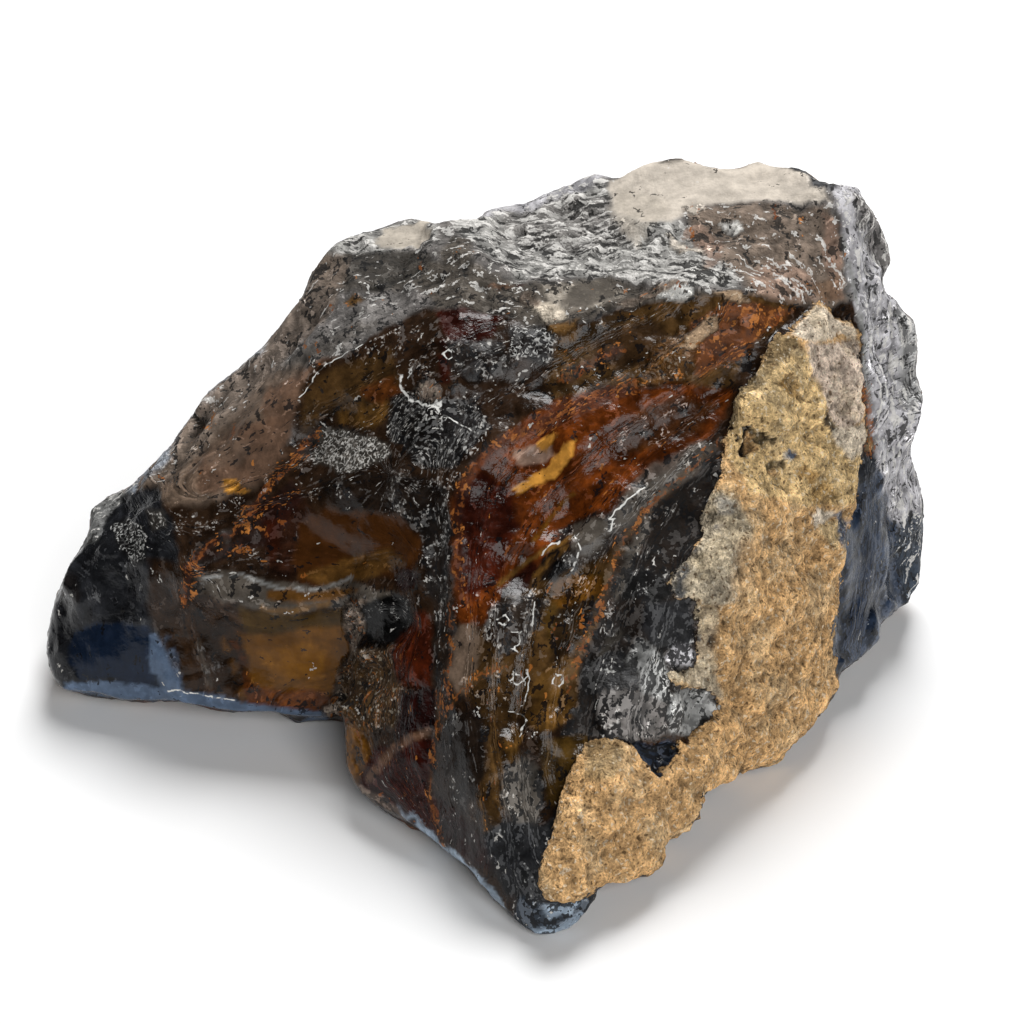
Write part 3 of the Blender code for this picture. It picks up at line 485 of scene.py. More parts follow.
# Thin runs: what it is, its finish, its colour, half its width, how much it covers, and its line.
RUNS = (
    # Left rim: a pale line painted as the highlight along the stone's upper left edge.
    ("left rim", "powder", "pale steel", 0.8, 0.5,
        "262,350 232,378 210,395 190,420 170,450 150,468 133,487"),
    ("grey wisp a", "smoky", "charcoal", 0.35, 0.6, "196,640 204,662 214,694"),
    ("grey wisp b", "smoky", "steel", 0.45, 0.6, "168,640 176,664 182,692"),
    ("rust vein", "rusty", "garnet", 0.42, 1,
        "186,600 190,565 209,546 235,531 256,506 270,484 290,464 304,446 316,434"),
    # Ledge edge: a pale line painted as the highlight along the ledge's lip.
    ("ledge edge", "glaze", "dove", 0.22, 0.9, "205,578 240,574 278,588 310,590 335,586 350,578"),
    ("ledge lip", "glaze", "bronze", 0.35, 0.8, "262,608 290,612 330,604"),
    ("window fibre", "quartz", "sienna", 0.4, 0.7, "232,640 244,660 250,690"),
    ("window fibre b", "smoky", "honey", 0.4, 0.7, "222,640 236,670 244,700"),
    ("toe pale streak", "glaze", "umber", 0.55, 0.8, "370,778 392,750 412,738 430,732"),
    ("toe seam orange", "rusty", "bronze", 0.28, 0.7,
        "441,690 437,720 435,743 430,776 431,800 437,825 446,842"),
    ("toe seam branch", "rusty", "bronze", 0.3, 0.7, "437,735 448,708 462,690 482,674 502,668"),
    ("red run", "smoky", "maroon", 0.6, 0.8, "440,345 444,368 446,380"),
    # Squiggles: glints, thin pale highlights painted along these lines.
    ("squiggle a", "glint", "chalk", 0.5, 1,
        "399,381 401,391 408,400 420,402 432,405 438,401 443,405 440,411 433,407"),
    ("squiggle a tail", "glint", "chalk", 0.26, 1, "441,411 450,419 461,425 473,431"),
    ("squiggle b", "glint", "chalk", 0.3, 1, "444,353 448,348 453,350 453,357 448,359 445,356"),
    ("squiggle c", "glint", "chalk", 0.2, 1, "300,395 312,380 328,364 344,353 360,346"),
    ("squiggle d", "glint", "chalk", 0.24, 1, "407,371 411,368 414,372 410,375 407,372"),
    ("squiggle e", "glint", "chalk", 0.32, 1,
        "644,488 634,494 624,502 616,510 611,516 606,516 607,522 612,520 610,528"),
    ("squiggle f", "glint", "chalk", 0.3, 1, "557,543 549,545 543,552"),
    ("squiggle g", "glint", "chalk", 0.28, 1, "577,540 580,550 577,559 572,568"),
    ("squiggle h", "glint", "chalk", 0.26, 1, "534,605 532,614 533,624"),
    ("squiggle i", "glint", "chalk", 0.26, 1, "499,618 505,614 509,619 506,627 501,624"),
    ("squiggle j", "glint", "chalk", 0.26, 1, "515,630 522,633 521,641 514,646 517,650"),
    ("squiggle k", "glint", "chalk", 0.26, 1, "513,679 516,673 523,674 525,680 520,685 515,683"),
    ("squiggle l", "glint", "chalk", 0.24, 1, "529,670 530,682 526,694 523,703"),
    ("squiggle m", "glint", "chalk", 0.26, 1, "553,681 556,675 563,676 565,683 559,687 554,684"),
    ("squiggle n", "glint", "chalk", 0.26, 1, "512,710 521,712 526,720 521,733"),
    ("seam", "seam", "soot", 0.75, 1, "436,528 438,560 441,600 440,640 441,684"),
    ("ember band a", "rusty", "garnet", 0.6, 1, "616,350 598,358 580,370 566,378"),
    ("ember band b", "rusty", "garnet", 0.65, 1, "630,383 600,394 566,411 530,428"),
    ("ember band c", "rusty", "soot", 0.5, 0.7, "530,428 500,440 480,456 464,480 458,515 457,562 462,600"),
    ("gold thread a", "silk", "honey", 0.3, 0.95, "533,540 548,522 562,505 572,494"),
    ("gold thread b", "silk", "bronze", 0.35, 0.95, "500,584 520,566 540,552 556,546 572,540"),
    ("gold thread c", "silk", "bronze", 0.35, 0.9, "536,575 550,560 568,548"),
    ("gold rim", "silk", "soot", 0.28, 0.95, "553,560 549,570 541,580 537,586"),
    ("vein edge left", "rusty", "oxblood", 0.35, 0.7, "449,690 452,650 450,610"),
    ("orange thread", "rusty", "bronze", 0.42, 0.7,
        "722,440 705,457 680,478 655,500 640,518 625,540 616,560 612,578 600,606 588,636 578,662 570,690"),
    ("bottom rim light", "glint", "chalk", 0.3, 1, "172,690 190,691 212,697 232,701"),
    ("wall dark line", "seam", "dove", 0.3, 0.95, "842,232 848,262 856,300 864,345 868,385 868,402"),
    ("rust sliver", "rusty", "leather", 0.5, 0.95, "864,392 867,412 870,432 870,448"),
    ("rust sliver low", "rusty", "straw", 0.3, 0.95, "868,432 870,450"),
)

# The profile of the stone on the sheet's grid.
OUTLINE = (
    "47,655 49,630 55,600 70,564 84,545 92,528 92,510 108,498 133,486 150,467 170,449 190,418 210,391 "
    "230,376 262,348 278,330 290,314 303,297 312,275 320,262 330,250 338,243 352,236 372,232 385,228 "
    "402,221 412,219 425,221 437,225 450,221 465,220 478,221 484,214 492,209 505,207 518,205 530,204 "
    "540,197 552,192 565,188 578,181 592,176 603,174 610,178 618,180 630,172 645,165 660,162 672,160 "
    "680,159 690,162 702,166 718,170 735,170 742,169 750,163 756,162 770,166 785,168 796,168 808,173 "
    "815,181 828,185 845,187 857,188 862,200 872,212 882,232 888,250 891,262 885,270 881,282 884,294 "
    "894,300 902,312 912,318 915,330 917,345 916,360 914,372 918,385 923,400 920,410 914,420 911,440 "
    "908,450 912,465 918,485 921,500 923,530 920,560 919,592 912,602 896,610 890,617 880,620 879,640 "
    "868,650 860,658 845,668 838,672 837,690 822,712 806,726 792,742 770,767 742,770 722,782 706,790 "
    "698,815 684,830 670,842 655,870 645,876 630,879 606,882 597,887 590,905 575,926 555,938 540,941 "
    "522,930 508,912 490,890 470,868 450,853 430,837 411,822 392,813 372,802 354,781 347,765 345,716 "
    "320,716 295,713 265,711 235,710 205,704 175,700 120,699 100,692 66,690 55,680"
)

# Lines that the fibres follow on the sheet's grid, each with its place across the fibres in
# millimetres.
FIBRE_LINES = (
    (0, "650,300 560,330 490,366 430,402 402,432 392,470 410,520 425,560 425,700 440,840"),
    (5, "700,310 615,352 566,384 500,430 465,481 458,560 455,680 470,850"),
    (10, "740,330 640,398 576,441 520,490 490,560 480,700 505,890"),
    (14, "745,365 665,425 615,458 560,520 510,600 500,720 530,900"),
    (18, "740,400 690,440 643,489 600,535 550,610 530,720 545,850"),
    (22, "730,430 664,490 625,539 600,600 575,680 560,780"),
    (26, "715,470 680,530 650,600 620,680 600,740"),
    (31, "700,560 680,640 660,720"),
    (-3, "640,285 560,312 480,345 420,376 370,402 330,424 300,440 240,470 200,490"),
    (-8, "170,449 230,428 300,396 380,356 440,328 520,300 600,284"),
    (-10, "190,505 220,500 300,480 380,440 410,400"),
    (-15, "200,558 260,520 330,500 400,470"),
    (-20, "232,586 280,595 360,590 400,560"),
    (-25, "262,662 300,650 330,650 400,620"),
    (-30, "300,712 340,700 370,680"),
    (-31, "345,720 370,790 430,840"),
    (-24, "200,590 215,640 236,695"),
    (-28, "160,560 174,630 186,690"),
    (-32, "108,512 122,600 128,690"),
    (-37, "66,600 70,680"),
    (40, "862,462 850,520 840,600 838,670"),
    (50, "880,470 893,530 888,600 868,650"),
    (60, "924,480 926,600"),
)


def hex_linear(code):
    """An sRGB hex colour as linear red, green and blue."""
    srgb = np.array([int(code[i : i + 2], 16) for i in (0, 2, 4)]) / 255.0
    return np.where(srgb <= 0.04045, srgb / 12.92, ((srgb + 0.055) / 1.055) ** 2.4)


def rgba(code):
    """An sRGB hex colour as a socket takes it."""
    return (*hex_linear(code), 1.0)


def colour_of(name):
    """One of the stone's own colours, linear."""
    return hex_linear(COLOURS[name])


def corners(text):
    """Points written as "across,down ..." in grid lines, as millimetres across and up to a tenth."""
    lines = np.array([[int(v) for v in pair.split(",")] for pair in text.split()])
    return np.round((lines - GRID_MIDDLE) * GRID_STEP, 1)


# ---------------------------------------------------------------- fields over points, in millimetres


def smooth_step(low, high, values):
    part = np.clip((values - low) / (high - low), 0.0, 1.0)
    return part * part * (3.0 - 2.0 * part)


def scramble(cells, seed):
    """A repeatable whole number for each cell of a lattice."""
    x, y, z = (cells[..., i].astype(np.int64).astype(np.uint32) for i in range(3))
    n = x * np.uint32(0x9E3779B1) ^ y * np.uint32(0x85EBCA77) ^ z * np.uint32(0xC2B2AE3D)
    n = n ^ np.uint32((seed * 0x27D4EB2F) & 0xFFFFFFFF)
    for shift, factor in ((15, 0x2C1B3C6D), (12, 0x297A2D39)):
        n = (n ^ (n >> np.uint32(shift))) * np.uint32(factor)
    return n ^ (n >> np.uint32(15))


def three_parts(numbers):
    """Three values from -1 to 1 out of each whole number."""
    parts = [(numbers >> np.uint32(s)) & np.uint32(1023) for s in (0, 10, 20)]
    return np.stack(parts, axis=-1).astype(np.float64) / 511.5 - 1.0


def swell(points, size, seed=0):
    """Smooth noise from about -1 to 1 whose lumps are about size across."""
    spots = points / size
    base = np.floor(spots)
    inside = spots - base
    fade = inside * inside * inside * (inside * (inside * 6.0 - 15.0) + 10.0)
    total = np.zeros(len(points))
    for step in np.ndindex(2, 2, 2):
        corner = np.array(step, dtype=float)
        slopes = three_parts(scramble(base + corner, seed))
        share = np.prod(np.where(corner > 0.5, fade, 1.0 - fade), axis=1)
        total += share * np.einsum("ij,ij->i", slopes, inside - corner)
    return total * 1.5


def rough(points, size, octaves, seed=0, keep=0.5):
    """Layers of smooth noise, each half as large and keep times as strong."""
    total = np.zeros(len(points))
    strength = 1.0
    for octave in range(octaves):
        total += strength * swell(points, size, seed + 31 * octave)
        size *= 0.5
        strength *= keep
    return total


def grains(points, size, seed=0):
    """The nearest grain: how far its centre and the next one are, the way to it, and three traits."""
    spots = points / size
    base = np.floor(spots)
    best = np.full(len(points), 9.0)
    second = best.copy()
    away = np.zeros_like(points)
    traits = np.zeros_like(points)
    for step in np.ndindex(3, 3, 3):
        cell = base + np.array(step) - 1.0
        numbers = scramble(cell, seed)
        offset = cell + 0.5 + 0.45 * three_parts(numbers) - spots
        reach = np.linalg.norm(offset, axis=1)
        closer = reach < best
        second = np.where(closer, best, np.minimum(second, reach))
        best = np.where(closer, reach, best)
        away[closer] = offset[closer]
        traits[closer] = three_parts(scramble(cell, seed + 7))[closer]
    return best * size, second * size, away * size, traits


def facets(points, size, tilt, seed=0):
    """Flat flakes that each lean their own way."""
    near, following, away, traits = grains(points, size, seed)
    lean = tilt * np.einsum("ij,ij->i", traits, away)
    return lean * smooth_step(0.0, 0.25 * size, following - near)


def on_sheet(points):
    """Where the eye sees each point on the sheet."""
    offset = points - SHEET_CENTRE
    shrink = EYE_DISTANCE / (EYE_DISTANCE + offset @ FORWARD)
    return np.stack((offset[:, 0] * shrink, (offset @ UP) * shrink), axis=1)


def line_reach(places, line):
    """Distance from each place to an open line."""
    reach = np.full(len(places), np.inf)
    for start, end in zip(line[:-1], line[1:]):
        along = end - start
        share = np.clip((places - start) @ along / max(along @ along, 1e-9), 0.0, 1.0)
        reach = np.minimum(reach, np.linalg.norm(places - start - share[:, None] * along, axis=1))
    return reach


def depth_inside(places, outline):
    """Distance to a closed outline, above zero inside it."""
    x, y = places[:, 0], places[:, 1]
    inside = np.zeros(len(places), dtype=bool)
    for (ax, ay), (bx, by) in zip(outline, np.roll(outline, -1, axis=0)):
        if ay != by:
            crossing = (bx - ax) * (y - ay) / (by - ay) + ax
            inside ^= ((ay > y) != (by > y)) & (x < crossing)
    reach = line_reach(places, np.vstack((outline, outline[:1])))
    return np.where(inside, reach, -reach)


def area_share(places, corner_points, softness):
    """How much each place belongs to an area, from 0 to 1."""
    low = corner_points.min(axis=0) - softness
    high = corner_points.max(axis=0) + softness
    near = np.all((places > low) & (places < high), axis=1)
    share = np.zeros(len(places))
    share[near] = smooth_step(-0.5 * softness, 0.5 * softness, depth_inside(places[near], corner_points))
    return share


def run_share(places, line, half_width):
    """How much each place belongs to a thin run, from 0 to 1."""
    low, high = line.min(axis=0) - 3 * half_width, line.max(axis=0) + 3 * half_width
    near = np.all((places > low) & (places < high), axis=1)
    share = np.zeros(len(places))
    share[near] = 1.0 - smooth_step(0.55 * half_width, 1.45 * half_width, line_reach(places[near], line))
    return share


def across_fibres(places):
    """The place across the fibres, blended from the lines that they follow."""
    total = np.zeros(len(places))
    weight = np.zeros(len(places))
    for value, text in FIBRE_LINES:
        pull = 1.0 / (line_reach(places, corners(text)) + 0.4) ** 3
        total += value * pull
        weight += pull
    return total / weight


# ---------------------------------------------------------------- the mesh


def read_mesh(mesh, name="co"):
    values = np.empty(len(mesh.vertices) * 3, dtype=np.float32)
    if name == "co":
        mesh.vertices.foreach_get("co", values)
        return values.reshape(-1, 3).astype(np.float64) / MM
    mesh.vertices.foreach_get("normal", values)
    return values.reshape(-1, 3).astype(np.float64)


def write_points(mesh, points):
    mesh.vertices.foreach_set("co", (points * MM).astype(np.float32).ravel())
    mesh.update()


def edge_ends(mesh):
    ends = np.empty(len(mesh.edges) * 2, dtype=np.int32)
    mesh.edges.foreach_get("vertices", ends)
    return ends.reshape(-1, 2)


def averaged(values, ends, rounds):
    """Values evened out over each vertex and its neighbours."""
    count = np.bincount(ends.ravel(), minlength=len(values)).astype(float)
    count = count.reshape(-1, *([1] * (values.ndim - 1))) + 1.0
    for _ in range(rounds):
        total = values.copy()
        np.add.at(total, ends[:, 0], values[ends[:, 1]])
        np.add.at(total, ends[:, 1], values[ends[:, 0]])
        values = total / count
    return values


def soft_normals(mesh, ends, rounds):
    normals = averaged(read_mesh(mesh, "normal"), ends, rounds)
    return normals / np.linalg.norm(normals, axis=1, keepdims=True)


def apply_modifiers(obj):
    """Put the result of the modifiers into the mesh and drop them."""
    depsgraph = bpy.context.evaluated_depsgraph_get()
    mesh = bpy.data.meshes.new_from_object(obj.evaluated_get(depsgraph))
    obj.modifiers.clear()
    old = obj.data
    obj.data = mesh
    bpy.data.meshes.remove(old)


def fine_copy(sizes):
    """An even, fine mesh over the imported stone, finest on the faces that the eye sees."""
    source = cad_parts[NODE]
    mesh = source.data.copy()
    mesh.name = PIECE
    stone = bpy.data.objects.new(PIECE, mesh)
    bpy.context.scene.collection.objects.link(stone)
    shape = bmesh.new()
    shape.from_mesh(mesh)
    bmesh.ops.remove_doubles(shape, verts=shape.verts, dist=1e-6)
    shape.to_mesh(mesh)
    shape.free()
    remesh = stone.modifiers.new("even skin", "REMESH")
    remesh.mode = "VOXEL"
    remesh.voxel_size = sizes.skin_step * MM
    smooth = stone.modifiers.new("ease facets", "SMOOTH")
    smooth.factor = 0.5
    smooth.iterations = sizes.ease_rounds
    apply_modifiers(stone)
    split_facing(stone.data)
    return stone


def split_facing(mesh):
    """Cut every face that looks towards the eye in four."""
    shape = bmesh.new()
    shape.from_mesh(mesh)
    eye = Vector(EYE * MM)
    chosen = set()
    for face in shape.faces:
        if face.normal.dot((eye - face.calc_center_median()).normalized()) > FACING_SPLIT:
            chosen.update(face.edges)
    bmesh.ops.subdivide_edges(shape, edges=list(chosen), cuts=1, use_grid_fill=True)
    bmesh.ops.triangulate(shape, faces=[f for f in shape.faces if len(f.verts) > 4])
    shape.to_mesh(mesh)
    shape.free()
    mesh.update()


def run_sides(places, rows):
    """For the nearest of some lines: how far to its left or right each place is, and how far away,
    both as if the line were 0.3 mm to a side."""
    side = np.full(len(places), FAR)
    reach = np.full(len(places), FAR)
    for row in rows:
        line = corners(row[-1])
        broad = RUN_UNIT / row[3]
        for start, end in zip(line[:-1], line[1:]):
            along = (end - start) / np.linalg.norm(end - start)
            offset = places - start
            share = np.clip(offset @ along, 0.0, np.linalg.norm(end - start))
            away = broad * np.linalg.norm(offset - share[:, None] * along, axis=1)
            left = broad * (offset[:, 1] * along[0] - offset[:, 0] * along[1])
            side = np.where(away < reach, left, side)
            reach = np.minimum(reach, away)
    return side, reach


def wobbled(places, points, seed, strength):
    """Places pushed about so that the borders drawn on the sheet turn ragged."""
    push = [
        0.55 * rough(points, 5.0, 3, s, 0.6) + 0.25 * swell(points, 0.9, s + 5) for s in (seed, seed + 1)
    ]
    return places + strength * np.stack(push, axis=1)


def hidden_blocks(points):
    """Faces turned away: angular blocks whose bands run their own way, and the seams between them."""
    pushed = points + 2.5 * np.stack([swell(points, 7.0, seed) for seed in (52, 53, 54)], axis=1)
    near, following, _, traits = grains(pushed, BLOCK_SIZE, 51)
    ways = BEDDING + 0.6 * traits
    ways /= np.linalg.norm(ways, axis=1, keepdims=True)
    along = np.einsum("ij,ij->i", pushed, ways)
    return along, traits, 1.0 - smooth_step(0.2, 1.0, following - near)


def hidden_tint(points, along, traits):
    """The colours of the faces turned away, in bands along each block."""
    spots = np.stack((along, 0.2 * points[:, 0], 0.2 * points[:, 2]), axis=1)
    tint = np.tile(colour_of(HIDDEN_TINT), (len(points), 1))
    for turn, (name, size, start) in enumerate(HIDDEN_BANDS):
        level = rough(spots, size, 3, 55 + turn, 0.6) + 0.25 * traits[:, turn % 3]
        share = smooth_step(start, start + 0.2, level)[:, None]
        tint = tint * (1.0 - share) + colour_of(name) * share
    return tint


def paint_stone(points, normals, broad):
    """Colour and finish of every point, patch over patch."""
    toward = EYE - points
    toward /= np.linalg.norm(toward, axis=1, keepdims=True)
    lean = np.maximum(np.einsum("ij,ij->i", normals, toward), np.einsum("ij,ij->i", broad, toward))
    facing = smooth_step(-0.12, 0.1, lean)
    places = on_sheet(points)
    drift = 0.25 * np.stack((swell(points, 3.0, 41), swell(points, 3.0, 42)), axis=1)
    ragged = wobbled(places, points, 11, 1.0)
    gentle = wobbled(places, points, 13, 0.4)
    layers = {
        "tint": np.tile(colour_of(FRONT_TINT), (len(points), 1)),
        "finish": np.tile(np.array(FINISHES["smoky"]), (len(points), 1)),
        "rind_tint": np.tile(colour_of(RIND_TINT), (len(points), 1)),
    }

    def lay(layer, share, value):
        share = share[:, None]
        layers[layer] = layers[layer] * (1.0 - share) + np.asarray(value) * share

    for name, kind, colour, softness, cover, text in AREAS:
        share = area_share(ragged, corners(text), softness) * cover
        lay("tint", share, colour_of(colour))
        lay("finish", share, FINISHES[kind])
    breaks = smooth_step(-0.45, 0.05, swell(points, 1.3, 61))
    for name, kind, colour, half_width, cover, text in RUNS:
        if kind == "glint":
            continue
        line = corners(text)
        core = 0.35 if kind == "rusty" else 1.0
        lay("tint", run_share(gentle, line, half_width) * cover * breaks * core, colour_of(colour))
        halo = half_width * (1.7 if kind == "rusty" else 1.3)
        lay("finish", run_share(ragged, line, halo) * cover, FINISHES[kind])
    sunk = np.zeros(len(points))
    for name, colour, softness, cover, text in RIND_AREAS:
        share = area_share(ragged, corners(text), softness) * cover
        lay("rind_tint", share, colour_of(colour))
        sunk += SUNK.get(name, 0.0) * share
    for name, kind, colour, softness, cover, text in AREAS:
        if name in SUNK:
            sunk += SUNK[name] * area_share(gentle, corners(text), softness)
    hidden = 1.0 - facing
    along, traits, seams = hidden_blocks(points)
    lay("tint", hidden, hidden_tint(points, along, traits))
    lay("finish", hidden, FINISHES["raw"])
    lay("tint", SEAM_COVER * hidden * seams, colour_of(HIDDEN_SEAM))
    lay("finish", SEAM_COVER * hidden * seams, FINISHES["rusty"])
    rind = depth_inside(gentle, corners(RIND_OUTLINE))
    rind = np.minimum(rind, 4.0 * facing - 2.0)
    for kind in ("rusty", "glint"):
        side, reach = run_sides(gentle, [row for row in RUNS if row[1] == kind])
        layers[kind] = (side, reach + FAR * hidden)
    layers["across"] = across_fibres(places + drift) * facing + along * hidden
    return layers, rind, sunk * facing


def relief(points, normals, finish, rind, sunk, across, sizes):
    """Height of the fine relief at every point, in millimetres."""
    gloss, sparkle, fibre, dust, sand, _, lace, _, calm = finish.T
    on_rind = smooth_step(-0.1, 0.35, rind)
    sand = np.maximum(sand, on_rind)
    bare = 1.0 - on_rind
    fibre_spots = np.stack((across, 0.2 * points[:, 0], 0.2 * points[:, 2]), axis=1)
    height = sizes.fibre_height * fibre * bare * rough(fibre_spots, 1.6, 3, 21)
    chips = facets(points, 4.2, 0.22, 3) + 0.7 * facets(points, 1.9, 0.26, 4)
    height += chips * bare * (1.0 - 0.65 * gloss) * (1.0 - 0.8 * calm)
    bedding = points @ BEDDING
    bedding_spots = np.stack((bedding, 0.15 * points[:, 0], 0.15 * points[:, 2]), axis=1)
    height += sizes.ledge_height * dust * bare * (1.0 - calm) * rough(bedding_spots, 1.5, 3, 22)
    squiggle = np.clip(1.0 - np.abs(rough(points, 1.7, 2, 23)) * 2.0, 0.0, 1.0)
    height += 0.06 * np.maximum(sparkle, lace) * bare * squiggle**3
    near, _, _, traits = grains(points + swell(points, 2.0, 26)[:, None], 5.0, 5)
    domes = 1.0 - np.clip(near / 3.75, 0.0, 1.0) ** 2
    height += 2.0 * sizes.grain_height * sand * (domes * (0.6 + 0.6 * traits[:, 0]) - 0.3)
    height += sand * (1.0 - calm) * (0.60 * rough(points, 3.4, 4, 24) + 0.22 * rough(points, 1.3, 2, 25))
    height += sizes.rind_lift * on_rind
    return height - sunk


def trim_profile(points, normals, ends, rind):
    """Ease the points at the stone's profile, as the eye sees it, onto its drawn outline."""
    toward = EYE - points
    toward /= np.linalg.norm(toward, axis=1, keepdims=True)
    lean = np.einsum("ij,ij->i", normals, toward)
    gap = depth_inside(on_sheet(points), corners(OUTLINE))
    share = (1.0 - smooth_step(0.15, 0.55, np.abs(lean))) * (1.0 - smooth_step(1.2, 1.9, np.abs(gap)))
    share *= smooth_step(0.3, 2.5, points[:, 2]) * (1.0 - 0.7 * smooth_step(-0.1, 0.35, rind))
    outward = normals - lean[:, None] * toward
    outward /= np.maximum(np.linalg.norm(outward, axis=1, keepdims=True), 1e-6)
    return points + averaged(outward * (share * gap)[:, None], ends, 2)


def store(mesh, name, values):
    """Keep a value or a colour for every point, for the finish to read."""
    kind = "FLOAT_COLOR" if values.ndim == 2 else "FLOAT"
    field = mesh.attributes.new(name, kind, "POINT")
    if values.ndim == 2:
        values = np.hstack((values, np.ones((len(values), 1))))
        field.data.foreach_set("color", values.astype(np.float32).ravel())
    else:
        field.data.foreach_set("value", values.astype(np.float32))


def dress_mesh(mesh, sizes):
    """Roughen the fine mesh and store what the finish reads."""
    ends = edge_ends(mesh)
    points = read_mesh(mesh)
    normals = soft_normals(mesh, ends, RELIEF_NORMAL_ROUNDS)
    layers, rind, sunk = paint_stone(points, normals, soft_normals(mesh, ends, FACE_NORMAL_ROUNDS))
    across = layers["across"]
    height = relief(points, normals, layers["finish"], rind, sunk, across, sizes)
    free = smooth_step(FOOT_LOW, FOOT_HIGH, points[:, 2])
    moved = points + normals * (height * free)[:, None]
    moved = trim_profile(moved, normals, ends, rind)
    lows = np.array(CAD_BOX[0]) / MM
    highs = np.array(CAD_BOX[1]) / MM
    moved = np.clip(moved, lows - (BOX_SPARE, BOX_SPARE, 0.0), highs + BOX_SPARE)
    write_points(mesh, moved)
    mean = averaged(moved, ends, CAVITY_ROUNDS)
    store(mesh, "tint", layers["tint"])
    store(mesh, "rind_tint", layers["rind_tint"])
    for name, values in zip(CHANNELS, layers["finish"].T):
        store(mesh, name, values)
    store(mesh, "across", across)
    store(mesh, "rind", rind)
    for name, kind in (("vein", "rusty"), ("glint", "glint")):
        side, reach = layers[kind]
        store(mesh, name + "_side", side)
        store(mesh, name + "_reach", reach)
    store(mesh, "cavity", np.einsum("ij,ij->i", moved - mean, normals))


# ---------------------------------------------------------------- the finish


# The setting that a node's mode goes into.
MODES = {
    "Math": "operation",
    "VectorMath": "operation",
    "Mix": "blend_type",
    "MapRange": "interpolation_type",
    "TexVoronoi": "feature",
}


def add(tree, kind, *values, out=None, **settings):
    """Add a node and give its output.

    The kind may end in the node's mode. The values and links fill the sockets in use, in order.
    Settings are the node's own, or a socket's by its name. out names one output or several."""
    kind, _, mode = kind.partition(" ")
    node = tree.nodes.new("ShaderNode" + kind)
    if mode:
        setattr(node, MODES[kind], mode)
    for name, value in settings.items():
        if name not in node.inputs:
            setattr(node, name, value)
    pairs = [*zip([s for s in node.inputs if s.enabled], values)]
    pairs += [(node.inputs[name], value) for name, value in settings.items() if name in node.inputs]
    for socket, value in pairs:
        if isinstance(value, bpy.types.NodeSocket):
            tree.links.new(value, socket)
        else:
            socket.default_value = value
    if out is None:
        return next(s for s in node.outputs if s.enabled)
    return node.outputs[out] if isinstance(out, str) else [node.outputs[name] for name in out]


